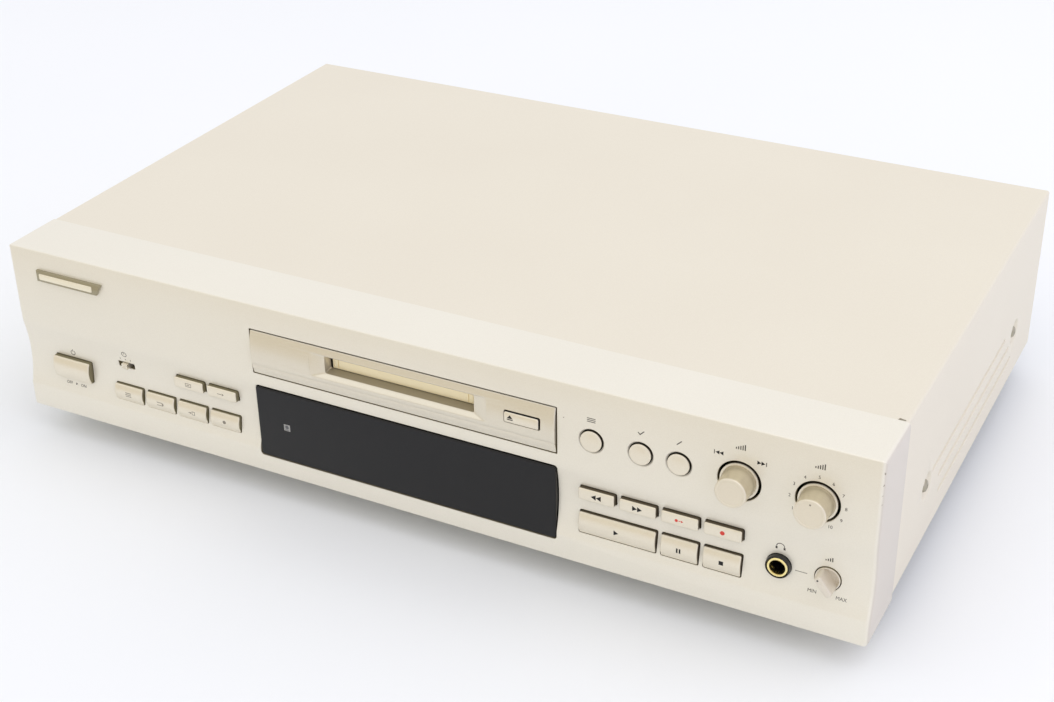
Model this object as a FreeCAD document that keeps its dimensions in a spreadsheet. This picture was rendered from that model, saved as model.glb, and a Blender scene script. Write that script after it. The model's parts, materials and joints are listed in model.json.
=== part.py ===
"""Full-width minidisc deck with a slot and flap, transport keys, jog dial and level knobs.

Frame: millimetres, +Z up, front towards -Y, +X to the right of someone facing the front.
The origin lies on the standing surface, under the middle of the deck's outer box.
Places are given as (x, depth, up): depth runs back from the front panel's upper face and
up runs from the panel's bottom edge, which stands one foot height above the surface.
"""
import FreeCAD, Part
import math
import os
import re

import Sketcher

os.makedirs("parts", exist_ok=True)
Vector = FreeCAD.Vector

DIMENSIONS = {
    # case
    "case_width": 422.8,
    "panel_height": 84.4,
    "panel_drop": 1.9,
    "panel_front": -133.0,
    "foot_height": 16.0,
    "seam_depth": 31.0,
    "case_depth": 268.3,
    "panel_wall": 3.0,
    "steel": 1.0,
    "chassis_steel": 1.2,
    "cover_step": 1.0,
    "cover_drop": 0.4,
    "cover_edge_radius": 1.2,
    "chassis_half_width": 207.9,
    "chassis_flange_height": 50.0,
    "chassis_front": 31.5,
    "chassis_rear": 265.6,
    "top_clearance": 1.6,
    "tab_inner_x": 190.0,
    "post_radius": 3.0,
    "window_margin": 8.0,
    "rear_plate_half_width": 209.2,
    "cup_mouth_radius": 7.0,
    "cup_floor_radius": 5.2,
    "dish_mouth_radius": 6.2,
    "dish_floor_radius": 4.6,
    "groove_half_height": 1.1,
    # feet
    "foot_low_radius": 25.0,
    "foot_top_radius": 27.0,
    "pad_radius": 19.0,
    "pad_gap": 0.1,
    "pad_inset": 1.2,
    "pad_thick": 2.4,
    # front panel's profile
    "band_proud": 0.8,
    "band_height": 10.0,
    "recess_top": 41.0,
    "recess_step": 0.6,
    "recess_radius": 62.0,
    "shoulder_top": 47.0,
    "shoulder_radius": 30.0,
    "panel_edge_radius": 1.2,
    # disc bezel and slot
    "bezel_half_width": 75.05,
    "bezel_low": 50.0,
    "bezel_high": 71.4,
    "bezel_crease": 54.5,
    "bezel_bulge": 1.15,
    "bezel_radius": 40.0,
    "bezel_thick": 4.6,
    "bezel_gap": 0.4,
    "bezel_flange": 2.5,
    "slot_half_width": 36.3,
    "slot_low": 59.7,
    "slot_high": 67.4,
    "mouth_half_width": 38.9,
    "scoop_half_width": 43.9,
    "scoop_low": 57.0,
    "scoop_high": 68.2,
    "scoop_depth": 1.0,
    "flap_half_width": 36.0,
    "flap_pivot_depth": 6.0,
    "flap_pivot_up": 68.6,
    "flap_thick": 1.5,
    "flap_length": 8.7,
    "flap_barrel_radius": 1.1,
    "flap_pin_radius": 0.9,
    "pin_clearance": 0.05,
    # display window
    "window_half_width": 75.0,
    "window_low": 7.2,
    "window_high": 43.0,
    "window_proud": 0.5,
    "window_thick": 6.5,
    "window_gap": 0.3,
    "window_corner": 1.5,
    # keys and buttons
    "right_key_column": 85.2,
    "left_key_column": 86.4,
    "key_pitch": 18.5,
    "key_width": 16.7,
    "key_gap": 0.3,
    "upper_key_low": 30.5,
    "upper_key_height": 6.1,
    "lower_key_low": 13.5,
    "lower_key_height": 10.6,
    "left_upper_key_low": 30.4,
    "left_upper_key_height": 5.8,
    "left_lower_key_low": 14.0,
    "left_lower_key_height": 8.8,
    "key_proud": 0.8,
    "key_rear": 9.0,
    "key_edge": 0.6,
    "eject_left": 51.7,
    "eject_width": 16.55,
    "eject_low": 59.3,
    "eject_height": 5.6,
    "eject_proud": 1.9,
    "eject_gap": 0.25,
    "menu_x": 91.0,
    "yes_x": 112.65,
    "clear_x": 129.15,
    "round_button_up": 60.0,
    "round_hole_radius": 5.35,
    "round_button_radius": 4.75,
    "round_button_edge": 0.35,
    "round_button_proud": 0.9,
    "power_left": -194.25,
    "power_width": 22.0,
    "power_low": 18.0,
    "power_height": 11.3,
    "power_proud": 1.9,
    "power_rear": 6.5,
    "timer_x": -150.7,
    "timer_up": 33.35,
    "timer_slot_width": 9.4,
    "timer_slot_height": 3.0,
    "timer_knob_half_width": 1.6,
    "timer_knob_half_height": 1.3,
    "timer_knob_front": -0.2,
    "timer_knob_rear": 8.2,
    "timer_foot_half_height": 0.9,
    "timer_foot_rear": 10.2,
    # knobs and socket
    "jog_x": 154.55,
    "knob_up": 59.5,
    "level_x": 186.45,
    "knob_hole_radius": 9.1,
    "knob_base_radius": 8.05,
    "knob_cap_radius": 6.6,
    "knob_proud": 9.7,
    "knob_rear": 2.0,
    "knob_cap_edge": 0.8,
    "knob_skirt_width": 0.95,
    "knob_skirt_proud": 0.3,
    "jog_bore_start": 5.0,
    "jog_shaft_front": -4.5,
    "shaft_radius": 3.0,
    "shaft_rear": 12.0,
    "phones_knob_x": 192.5,
    "phones_knob_up": 24.0,
    "phones_hole_radius": 5.5,
    "phones_disc_radius": 5.2,
    "phones_disc_front": 1.85,
    "phones_disc_rear": 4.85,
    "phones_bowl_radius": 4.7,
    "phones_bowl_floor_radius": 3.9,
    "phones_bowl_depth": 1.5,
    "phones_bar_width": 9.9,
    "phones_bar_height": 3.2,
    "phones_bar_front": -5.0,
    "phones_bar_depth": 8.6,
    "jack_x": 172.35,
    "jack_up": 24.1,
    "jack_radius": 5.15,
    "jack_hole_gap": 0.1,
    "jack_bore": 3.25,
    "jack_ring_radius": 4.45,
    "jack_ring_length": 5.3,
    "jack_proud": 0.45,
    "jack_block_front": 5.5,
    "jack_block_half": 6.5,
    "jack_rear": 33.0,
    # boards and what they carry
    "board": 1.6,
    "front_board_depth": 13.7,
    "switch_size": 6.0,
    "switch_height": 3.5,
    "main_board_up": 8.0,
    "main_board_front": 150.0,
    "main_board_rear": 255.0,
    "chip_height": 2.4,
    "front_board_half_width": 202.0,
    "encoder_front": 6.7,
    "encoder_half": 6.5,
    "pot_front": 7.7,
    "pot_half": 5.5,
    "core_half_width": 36.0,
    "core_x": -150.0,
    "core_front": 182.0,
    "core_rear": 218.0,
    "core_height": 60.0,
    "core_leg_half_width": 12.0,
    "core_yoke": 12.0,
    "coil_front": 171.0,
    "coil_rear": 229.0,
    "coil_gap": 0.2,
    "sink_x": -88.0,
    "sink_plate": 4.0,
    "sink_reach": 16.0,
    "sink_front": 170.0,
    "sink_length": 66.0,
    "sink_height": 46.0,
    "fin_pitch": 10.0,
    "fin_thick": 1.6,
    # case screws
    "screw_head_radius": 2.9,
    "screw_head_height": 2.0,
    "screw_radius": 1.5,
    "screw_length": 5.0,
    "screw_hole_radius": 1.6,
    "dish_depth": 1.5,
    # rear sockets
    "rca_radius": 4.15,
    "rca_neck_radius": 3.4,
    "rca_opening_radius": 4.6,
    "rca_flange_radius": 5.5,
    "rca_flange_thick": 3.6,
    "rca_bore": 1.6,
    "rca_bore_depth": 9.0,
    "rca_proud": 8.7,
    "rear_face": 267.0,
    "rear_plate_gap": 0.2,
    "optical_half_width": 7.0,
    "optical_half_height": 5.5,
    "optical_depth": 8.0,
    "optical_proud": 1.2,
    "shutter_half": 3.0,
    "opening_gap": 0.1,
    "inlet_half_width": 11.0,
    "inlet_half_height": 7.0,
    "inlet_depth": 16.0,
    "inlet_lip_half_width": 13.0,
    "inlet_lip_half_height": 8.5,
    "inlet_lip_proud": 1.3,
    "inlet_hollow_half_width": 7.8,
    "inlet_hollow_half_height": 4.2,
    "inlet_hollow_depth": 13.0,
    "inlet_pin_x": 4.3,
    "inlet_pin_radius": 1.2,
    "inlet_pin_length": 10.0,
    # mechanism
    "deck_plate_up": 34.0,
    "deck_plate": 1.5,
    "spindle_depth": 78.0,
    "holder_half_width": 38.2,
    "holder_low": 58.5,
    "holder_height": 8.7,
    "holder_front": 17.0,
    "holder_rear": 112.0,
    "holder_drop": 7.0,
    "frame_half_width": 50.0,
    "frame_front": 36.0,
    "frame_rear": 138.0,
    "rod_x": 19.0,
    "rod_up": 41.0,
    "rod_radius": 2.0,
    "screw_x": 28.0,
    "lead_screw_radius": 1.5,
    "frame_side_top": 72.0,
    "frame_rear_top": 74.0,
    "leg_radius": 3.5,
    "arm_pivot_depth": 132.0,
    "arm_pivot_up": 70.0,
    "arm_pin_radius": 1.2,
    "arm_half_width": 3.5,
    "holder_pin_radius": 1.5,
    "holder_pin_up": 63.0,
    "pin_slot_half": 1.55,
    "pin_slot_margin": 1.8,
    "gear_x": -36.0,
    "gear_depth": 56.0,
    "gear_shaft_radius": 1.5,
    "gear_radius": 9.0,
    "gear_root_radius": 7.6,
    "gear_thick": 3.5,
    "gear_lift": 2.3,
}

doc = FreeCAD.newDocument("MinidiscDeck")
sheet = doc.addObject("Spreadsheet::Sheet", "Dims")
for row, (alias, size) in enumerate(DIMENSIONS.items(), start=1):
    sheet.set(f"A{row}", alias)
    sheet.set(f"B{row}", str(size))
    sheet.setAlias(f"B{row}", alias)
doc.recompute()

nodes = []


# ---------------------------------------------------------------- formulas and places

def formula(text):
    """A formula of the sheet's names, written as the document reads it."""
    return re.sub(r"\b([a-z][a-z_]*)\b", r"Dims.\1", str(text))


def value(text):
    """The number that a formula of the sheet's names gives."""
    return float(sheet.evalExpression(formula(text)))


def link(thing, prop, text):
    """Bind one property of an object to a formula."""
    thing.setExpression(prop, formula(text))


def place(thing, x, depth, up, rotation=None):
    """Put an object at (x, depth, up), each a formula, turned by an optional rotation."""
    thing.Placement = FreeCAD.Placement(Vector(0, 0, 0), rotation or FreeCAD.Rotation())
    link(thing, "Placement.Base.x", x)
    link(thing, "Placement.Base.y", f"panel_front + ({depth})")
    link(thing, "Placement.Base.z", f"foot_height + ({up})")
    return thing


def keep(thing):
    """Note a finished sub-part, whose label is its node's name."""
    nodes.append(thing)
    return thing


# ---------------------------------------------------------------- Part primitives

ALONG = {
    "x": FreeCAD.Rotation(Vector(0, 1, 0), 90),
    "-x": FreeCAD.Rotation(Vector(0, 1, 0), -90),
    "y": FreeCAD.Rotation(Vector(1, 0, 0), -90),
    "z": FreeCAD.Rotation(),
}


def box(label, low, high):
    """A box between two corners, each (x, depth, up) in formulas."""
    made = doc.addObject("Part::Box", label)
    for prop, start, end in zip(("Length", "Width", "Height"), low, high):
        link(made, prop, f"({end}) - ({start})")
    return place(made, *low)


def rod(label, along, radius, length, x, depth, up):
    """A cylinder that starts at (x, depth, up) and runs along one axis."""
    made = doc.addObject("Part::Cylinder", label)
    link(made, "Radius", radius)
    link(made, "Height", length)
    return place(made, x, depth, up, ALONG[along])


def cone(label, along, start_radius, end_radius, length, x, depth, up):
    """A cone that starts at (x, depth, up) and runs along one axis."""
    made = doc.addObject("Part::Cone", label)
    link(made, "Radius1", start_radius)
    link(made, "Radius2", end_radius)
    link(made, "Height", length)
    return place(made, x, depth, up, ALONG[along])


def taper(label, front, back, near, far):
    """A tapered opening from one upright rectangle, at depth near, to another at depth far.

    Each rectangle is (half width, low edge, high edge)."""
    made = doc.addObject("Part::Wedge", label)
    sizes = {
        "Xmin": f"0 - ({front[0]})", "Xmax": front[0], "Zmin": front[1], "Zmax": front[2],
        "X2min": f"0 - ({back[0]})", "X2max": back[0], "Z2min": back[1], "Z2max": back[2],
        "Ymin": near, "Ymax": far,
    }
    plain = {"Ymin": 0, "Ymax": 10, "Xmin": -9, "Xmax": 9, "Zmin": 0, "Zmax": 9,
             "X2min": -8, "X2max": 8, "Z2min": 1, "Z2max": 8}
    for prop, number in plain.items():
        setattr(made, prop, number)
    for prop, text in sizes.items():
        link(made, prop, text)
    return place(made, "0", "0", "0")


def rounded(label, block, radius):
    """A box with its four edges along the depth rounded."""
    doc.recompute()
    made = doc.addObject("Part::Fillet", label)
    made.Base = block
    made.Edges = [(index, radius, radius) for index, edge in enumerate(block.Shape.Edges, start=1)
                  if abs(edge.tangentAt(edge.FirstParameter).y) > 0.99]
    return made


def joined(label, pieces):
    """Several overlapping or touching solids as one."""
    made = doc.addObject("Part::MultiFuse", label)
    made.Shapes = pieces
    return made


def cut(label, base, tools):
    """A solid less one tool or several."""
    made = doc.addObject("Part::Cut", label)
    made.Base = base
    made.Tool = tools[0] if len(tools) == 1 else joined(f"{label}_cutters", tools)
    return made


def group(label, pieces):
    """Separate like solids that share one node."""
    made = doc.addObject("Part::Compound", label)
    made.Links = pieces
    return made


# ---------------------------------------------------------------- PartDesign bodies

def sketch_on(body, role, name, offset="0"):
    """A sketch on one of the body's own origin planes, moved along its normal."""
    made = body.newObject("Sketcher::SketchObject", name)
    plane = next(one for one in body.Origin.OriginFeatures if one.Role == role)
    made.AttachmentSupport = [(plane, "")]
    made.MapMode = "FlatFace"
    link(made, "AttachmentOffset.Base.z", offset)
    return made


def arc_between(start, end, radius, side):
    """The arc from start to end that bulges to one side of the way: 1 right, -1 left."""
    chord = end - start
    reach = chord.Length / 2
    to_centre = math.sqrt(radius ** 2 - reach ** 2)
    leftward = Vector(-chord.y, chord.x, 0).normalize()
    centre = (start + end) * 0.5 + leftward * (side * to_centre)
    angles = [math.atan2(point.y - centre.y, point.x - centre.x) for point in (start, end)]
    if side < 0:
        angles.reverse()
    if angles[1] < angles[0]:
        angles[1] += 2 * math.pi
    return Part.ArcOfCircle(Part.Circle(centre, Vector(0, 0, 1), radius), *angles)


def outline(sketch, corners):
    """A closed outline whose corners are pairs of formulas.

    A corner with a third and fourth item starts an arc: its radius, and the side it bulges to."""
    points = [Vector(value(corner[0]), value(corner[1]), 0) for corner in corners]
    ends = []
    for index, corner in enumerate(corners):
        start, end = points[index], points[(index + 1) % len(points)]
        if len(corner) == 2:
            sketch.addGeometry(Part.LineSegment(start, end))
            ends.append((1, 2))
        else:
            sketch.addGeometry(arc_between(start, end, value(corner[2]), corner[3]))
            ends.append((1, 2) if corner[3] > 0 else (2, 1))
    for index, corner in enumerate(corners):
        after = (index + 1) % len(corners)
        sketch.addConstraint(
            Sketcher.Constraint("Coincident", index, ends[index][1], after, ends[after][0]))
        for kind, text, number in (("DistanceX", corner[0], points[index].x),
                                   ("DistanceY", corner[1], points[index].y)):
            made = sketch.addConstraint(
                Sketcher.Constraint(kind, -1, 1, index, ends[index][0], number))
            link(sketch, f"Constraints[{made}]", text)
        if len(corner) > 2:
            made = sketch.addConstraint(Sketcher.Constraint("Radius", index, value(corner[2])))
            link(sketch, f"Constraints[{made}]", corner[2])


def rectangle(sketch, left, low, right, high):
    """A rectangle between two corners, each side a formula."""
    outline(sketch, [(left, low), (right, low), (right, high), (left, high)])


def circle(sketch, radius, x="0", y="0"):
    """A circle whose radius and centre are formulas."""
    index = sketch.addGeometry(
        Part.Circle(Vector(value(x), value(y), 0), Vector(0, 0, 1), value(radius)))
    made = sketch.addConstraint(Sketcher.Constraint("Radius", index, value(radius)))
    link(sketch, f"Constraints[{made}]", radius)
    for kind, text in (("DistanceX", x), ("DistanceY", y)):
        made = sketch.addConstraint(Sketcher.Constraint(kind, -1, 1, index, 3, value(text)))
        link(sketch, f"Constraints[{made}]", text)


def extrude(body, kind, sketch, length, midplane=False, reverse=False):
    """A Pad or Pocket of a sketch, its length a formula."""
    made = body.newObject(f"PartDesign::{kind}", f"{sketch.Name}_{kind.lower()}")
    made.Profile = sketch
    made.Midplane = midplane
    made.Reversed = reverse
    link(made, "Length", length)
    return made


def edges_where(feature, wanted):
    """Names of a feature's edges whose middle point and direction pass a test."""
    doc.recompute()
    names = []
    for index, edge in enumerate(feature.Shape.Edges, start=1):
        middle = edge.valueAt((edge.FirstParameter + edge.LastParameter) / 2)
        if wanted(middle, edge):
            names.append(f"Edge{index}")
    return names


def fillet(body, feature, names, radius):
    """A Fillet on some edges of a body's last feature."""
    made = body.newObject("PartDesign::Fillet", f"{feature.Name}_fillet")
    made.Base = (feature, names)
    link(made, "Radius", radius)
    return made


def turned_body(label, corners):
    """A body turned about its own Y axis from corners (radius, depth)."""
    body = doc.addObject("PartDesign::Body", label)
    sketch = sketch_on(body, "XY_Plane", f"{label}_profile")
    outline(sketch, corners)
    turned = body.newObject("PartDesign::Revolution", f"{label}_turned")
    turned.Profile = sketch
    turned.ReferenceAxis = (sketch, ["V_Axis"])
    turned.Angle = 360.0
    return body


# ---------------------------------------------------------------- front panel

def panel_corners(inset, rear):
    """The panel's profile as (depth, up), moved inwards by a wall."""
    return [
        (rear, f"{inset} - panel_drop"),
        (f"{inset} - band_proud", f"{inset} - panel_drop"),
        (f"{inset} - band_proud", "band_height", "recess_radius", 1),
        (f"{inset} + recess_step", "recess_top", "shoulder_radius", -1),
        (inset, "shoulder_top"),
        (inset, f"panel_height - {inset}"),
        (rear, f"panel_height - {inset}"),
    ]


def front_panel():
    """Moulded shell: concave lower face, flat upper face, flanges back to the cover's seam."""
    body = doc.addObject("PartDesign::Body", "front_panel_shell")
    outer = sketch_on(body, "YZ_Plane", "panel_outer")
    outline(outer, panel_corners("0", "seam_depth"))
    block = extrude(body, "Pad", outer, "case_width", midplane=True)
    front_limit = value("panel_wall")
    half, low, high = value("case_width / 2"), value("0 - panel_drop"), value("panel_height")
    soft = edges_where(block, lambda middle, edge: middle.y < front_limit and (
        abs(abs(middle.x) - half) < 0.01
        or (abs(middle.x) < 0.01 and min(middle.z - low, high - middle.z) < 0.01)))
    block = fillet(body, block, soft, "panel_edge_radius")
    inner = sketch_on(body, "YZ_Plane", "panel_inner")
    outline(inner, panel_corners("panel_wall", "seam_depth + 1"))
    extrude(body, "Pocket", inner, "case_width - 2 * panel_wall", midplane=True)
    place(body, "0", "0", "0")
    holes = [
        box("bezel_opening", ("0 - bezel_half_width - bezel_gap", "-5", "bezel_low - bezel_gap"),
            ("bezel_half_width + bezel_gap", "8", "bezel_high + bezel_gap")),
        box("window_opening", ("0 - window_half_width - window_gap", "-5", "window_low - window_gap"),
            ("window_half_width + window_gap", "8", "window_high + window_gap")),
        box("power_opening", ("power_left", "-5", "power_low"),
            ("power_left + power_width", "8", "power_low + power_height")),
        box("timer_opening",
            ("timer_x - timer_slot_width / 2", "-5", "timer_up - timer_slot_height / 2"),
            ("timer_x + timer_slot_width / 2", "8", "timer_up + timer_slot_height / 2")),
        rod("jog_hole", "y", "knob_hole_radius", "13", "jog_x", "-5", "knob_up"),
        rod("level_hole", "y", "knob_hole_radius", "13", "level_x", "-5", "knob_up"),
        rod("phones_knob_hole", "y", "phones_hole_radius", "13", "phones_knob_x", "-5",
            "phones_knob_up"),
        rod("jack_hole", "y", "jack_radius + jack_hole_gap", "13", "jack_x", "-5", "jack_up"),
    ]
    for name, left, width, low, height in key_places():
        hole = box(f"{name}_block", (left, "-5", low),
                   (f"{left} + {width}", "8", f"{low} + {height}"))
        holes.append(rounded(f"{name}_opening", hole, 0.8))
    for name, x in round_button_places():
        holes.append(rod(f"{name}_opening", "y", "round_hole_radius", "13", x, "-5", "round_button_up"))
    keep(cut("front_panel", body, holes))


# ---------------------------------------------------------------- keys and buttons

def key_places():
    """Name, left edge, width, low edge and height of each key's opening."""
    upper = ("upper_key_low", "upper_key_height")
    lower = ("lower_key_low", "lower_key_height")
    left_upper = ("left_upper_key_low", "left_upper_key_height")
    left_lower = ("left_lower_key_low", "left_lower_key_height")
    right = "right_key_column + {} * key_pitch"
    left = "0 - left_key_column - key_width - {} * key_pitch"
    wide = "key_pitch + key_width"
    places = [(name, right.format(column), "key_width", *upper) for column, name in
              enumerate(("rewind_key", "forward_key", "record_sync_key", "record_key"))]
    places.append(("play_key", right.format(0), wide, *lower))
    places.append(("pause_key", right.format(2), "key_width", *lower))
    places.append(("stop_key", right.format(3), "key_width", *lower))
    places += [(name, left.format(column), "key_width", *left_upper) for column, name in
               ((1, "display_key"), (0, "scroll_key"))]
    places += [(name, left.format(column), "key_width", *left_lower) for column, name in
               ((3, "play_mode_key"), (2, "repeat_key"), (1, "input_key"), (0, "time_key"))]
    return places


def round_button_places():
    """Name and X of each round button."""
    return [("menu_button", "menu_x"), ("yes_button", "yes_x"), ("clear_button", "clear_x")]


def push_key(label, left, width, low, height, proud, rear, gap="key_gap"):
    """A rounded key a gap smaller than its opening, from proud of the face back to rear."""
    body = doc.addObject("PartDesign::Body", label)
    sketch = sketch_on(body, "XZ_Plane", f"{label}_face")
    rectangle(sketch, gap, gap, f"{width} - {gap}", f"{height} - {gap}")
    block = extrude(body, "Pad", sketch, f"{rear} + {proud}", reverse=True)
    front = edges_where(block, lambda middle, edge: abs(middle.y) < 0.01)
    fillet(body, block, front, "key_edge")
    keep(place(body, left, f"0 - {proud}", low))


def keys_and_buttons():
    """The thirteen keys, the round, eject and power buttons and the timer slider."""
    for name, left, width, low, height in key_places():
        push_key(name, left, width, low, height, "key_proud", "key_rear")
    push_key("eject_button", "eject_left", "eject_width", "eject_low", "eject_height",
             "eject_proud", "key_rear", gap="eject_gap")
    push_key("power_button", "power_left", "power_width", "power_low", "power_height",
             "power_proud", "power_rear")
    rear = "key_rear + round_button_proud"
    for name, x in round_button_places():
        body = turned_body(name, [
            ("0", "0"), ("round_button_radius - round_button_edge", "0"),
            ("round_button_radius", "round_button_edge"), ("round_button_radius", rear), ("0", rear)])
        keep(place(body, x, "0 - round_button_proud", "round_button_up"))
    left, right = "timer_x - timer_knob_half_width", "timer_x + timer_knob_half_width"
    knob = box("timer_knob", (left, "timer_knob_front", "timer_up - timer_knob_half_height"),
               (right, "timer_knob_rear", "timer_up + timer_knob_half_height"))
    foot = box("timer_foot", (left, "timer_knob_rear", "timer_up - timer_foot_half_height"),
               (right, "timer_foot_rear", "timer_up + timer_foot_half_height"))
    keep(joined("timer_slider", [knob, foot]))


# ---------------------------------------------------------------- bezel, flap and window

def disc_bezel():
    """Moulded plate with a bowed face, a scoop that tapers to the slot and the eject opening."""
    body = doc.addObject("PartDesign::Body", "bezel_plate")
    sketch = sketch_on(body, "YZ_Plane", "bezel_profile")
    outline(sketch, [
        ("bezel_thick", "bezel_low"),
        ("0", "bezel_low"),
        ("0 - bezel_bulge", "bezel_crease", "bezel_radius", -1),
        ("0", "bezel_high"),
        ("bezel_thick", "bezel_high")])
    extrude(body, "Pad", sketch, "2 * bezel_half_width", midplane=True)
    place(body, "0", "0", "0")
    flange = box(
        "bezel_rim",
        ("0 - bezel_half_width - bezel_flange", "panel_wall + 0.05", "bezel_low - bezel_flange"),
        ("bezel_half_width + bezel_flange", "bezel_thick", "bezel_high + bezel_flange"))
    solids = [body, flange]
    for side, sign in (("left", "0 -"), ("right", "0 +")):
        centre = f"{sign} (flap_half_width + 2.6)"
        solids.append(box(f"flap_ear_{side}",
                          (f"{centre} - 1.5", "bezel_thick", "flap_pivot_up - 2.6"),
                          (f"{centre} + 1.5", "bezel_thick + 4", "flap_pivot_up + 2.6")))
    slot = ("slot_half_width", "slot_low", "slot_high")
    mouth = ("mouth_half_width", "slot_low - 0.1", "slot_high")
    scoop = ("scoop_half_width", "scoop_low", "scoop_high")
    cutters = [
        taper("scoop_taper", scoop, mouth, "0 - bezel_bulge - 0.6", "scoop_depth"),
        taper("mouth_taper", mouth, slot, "scoop_depth - 0.01", "bezel_thick + 0.01"),
        box("eject_opening", ("eject_left", "-5", "eject_low"),
            ("eject_left + eject_width", "6", "eject_low + eject_height")),
        rod("flap_pin_hole", "x", "flap_pin_radius + pin_clearance", "2 * flap_half_width + 9",
            "0 - flap_half_width - 4.5", "flap_pivot_depth", "flap_pivot_up"),
        box("flap_room",
            ("0 - flap_half_width - 0.3", "bezel_thick - 0.05", "slot_low"),
            ("flap_half_width + 0.3", "bezel_thick + 5", "flap_pivot_up + 2.6")),
    ]
    keep(cut("disc_bezel", joined("bezel_solid", solids), cutters))


def disc_flap():
    """Flat bar with a barrel along its top edge and a pin at each end."""
    blade = box("flap_blade",
                ("0 - flap_half_width", "flap_pivot_depth - flap_thick / 2",
                 "flap_pivot_up - flap_length"),
                ("flap_half_width", "flap_pivot_depth + flap_thick / 2", "flap_pivot_up"))
    barrel = rod("flap_barrel", "x", "flap_barrel_radius", "2 * flap_half_width",
                 "0 - flap_half_width", "flap_pivot_depth", "flap_pivot_up")
    pin = rod("flap_pin", "x", "flap_pin_radius", "2 * flap_half_width + 8",
              "0 - flap_half_width - 4", "flap_pivot_depth", "flap_pivot_up")
    keep(joined("disc_flap", [blade, barrel, pin]))


def display_window():
    """Smoked lens with rounded corners and a thin rim behind the panel."""
    lens = box("lens_block", ("0 - window_half_width", "0 - window_proud", "window_low"),
               ("window_half_width", "window_thick - window_proud", "window_high"))
    rim = box("lens_rim",
              ("0 - window_half_width - 2", "window_thick - window_proud - 1", "window_low - 2"),
              ("window_half_width + 2", "window_thick - window_proud", "window_high + 2"))
    keep(joined("display_window",
                [rounded("lens", lens, value("window_corner")), rim]))


# ---------------------------------------------------------------- knobs, encoder, pots and jack

def knob_corners(bore_end):
    """Half profile (radius, depth) of a jog or level knob, from its cap back to its skirt."""
    return [
        (bore_end, "0"),
        ("knob_cap_radius - knob_cap_edge", "0"),
        ("knob_cap_radius", "knob_cap_edge"),
        ("knob_base_radius - knob_skirt_width", "knob_proud - knob_skirt_proud"),
        ("knob_base_radius", "knob_proud - knob_skirt_proud"),
        ("knob_base_radius", "knob_proud + knob_rear"),
    ]


PHONES_TILT = 52


def knobs():
    """The jog knob on its sliding shaft, the level knob and the small phones knob."""
    grip = "shaft_radius + pin_clearance"
    jog = turned_body("jog_knob", knob_corners("0") + [
        (grip, "knob_proud + knob_rear"), (grip, "jog_bore_start"), ("0", "jog_bore_start")])
    keep(place(jog, "jog_x", "0 - knob_proud", "knob_up"))
    keep(rod("jog_shaft", "y", "shaft_radius", "shaft_rear - jog_shaft_front", "jog_x",
             "jog_shaft_front", "knob_up"))
    level = turned_body("rec_level_knob", knob_corners("0") + [
        ("shaft_radius", "knob_proud + knob_rear"),
        ("shaft_radius", "knob_proud + shaft_rear"),
        ("0", "knob_proud + shaft_rear")])
    keep(place(level, "level_x", "0 - knob_proud", "knob_up"))
    centre = ("phones_knob_x", "phones_disc_front", "phones_knob_up")
    disc = cut("phones_disc", rod("phones_disc_blank", "y", "phones_disc_radius",
                                  "phones_disc_rear - phones_disc_front", *centre),
               [cone("phones_bowl", "y", "phones_bowl_radius", "phones_bowl_floor_radius",
                     "phones_bowl_depth", *centre)])
    stem = rod("phones_stem", "y", "shaft_radius", "shaft_rear - phones_disc_rear",
               "phones_knob_x", "phones_disc_rear", "phones_knob_up")
    bar = doc.addObject("Part::Box", "phones_bar")
    link(bar, "Length", "phones_bar_width")
    link(bar, "Width", "phones_bar_depth")
    link(bar, "Height", "phones_bar_height")
    tilt = FreeCAD.Rotation(Vector(0, 1, 0), PHONES_TILT)
    corner = tilt.multVec(Vector(-value("phones_bar_width / 2"), 0, -value("phones_bar_height / 2")))
    place(bar, f"phones_knob_x + ({corner.x})", "phones_bar_front",
          f"phones_knob_up + ({corner.z})", tilt)
    keep(joined("phones_level_knob", [disc, stem, bar]))


def rotary_controls():
    """The jog encoder and the two level pots, each a block with a bushing bore."""
    bore = "shaft_radius + pin_clearance"
    for label, controls in (
            ("jog_encoder", [("encoder", "jog_x", "knob_up", "encoder_front", "encoder_half")]),
            ("level_pots", [("rec_pot", "level_x", "knob_up", "pot_front", "pot_half"),
                            ("phones_pot", "phones_knob_x", "phones_knob_up", "pot_front",
                             "pot_half")])):
        solids = []
        for name, x, up, front, half in controls:
            block = box(f"{name}_block", (f"{x} - {half}", front, f"{up} - {half}"),
                        (f"{x} + {half}", "front_board_depth", f"{up} + {half}"))
            hole = rod(f"{name}_bore", "y", bore, "front_board_depth", x, "0", up)
            solids.append(cut(name, block, [hole]))
        keep(group(label, solids))


def headphone_jack():
    """Jack body with its barrel through the panel, and the plated ring round its mouth."""
    barrel = rod("jack_barrel", "y", "jack_radius", "jack_proud + 6", "jack_x",
                 "0 - jack_proud", "jack_up")
    block = box("jack_block",
                ("jack_x - jack_block_half", "jack_block_front", "jack_up - jack_block_half"),
                ("jack_x + jack_block_half", "jack_rear", "jack_up + jack_block_half"))
    ring_room = rod("jack_ring_room", "y", "jack_ring_radius", "jack_ring_length", "jack_x",
                    "0 - jack_proud", "jack_up")
    bore = rod("jack_hollow", "y", "jack_bore", "jack_proud + jack_rear - 1.5", "jack_x",
               "0 - jack_proud", "jack_up")
    keep(cut("headphone_jack", joined("jack_solid", [barrel, block]), [ring_room, bore]))
    ring = turned_body("jack_ring", [
        ("jack_bore", "0"), ("jack_ring_radius", "0"),
        ("jack_ring_radius", "jack_ring_length"), ("jack_bore", "jack_ring_length")])
    keep(place(ring, "jack_x", "0 - jack_proud", "jack_up"))


# ---------------------------------------------------------------- cover, chassis, rear panel, feet

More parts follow.
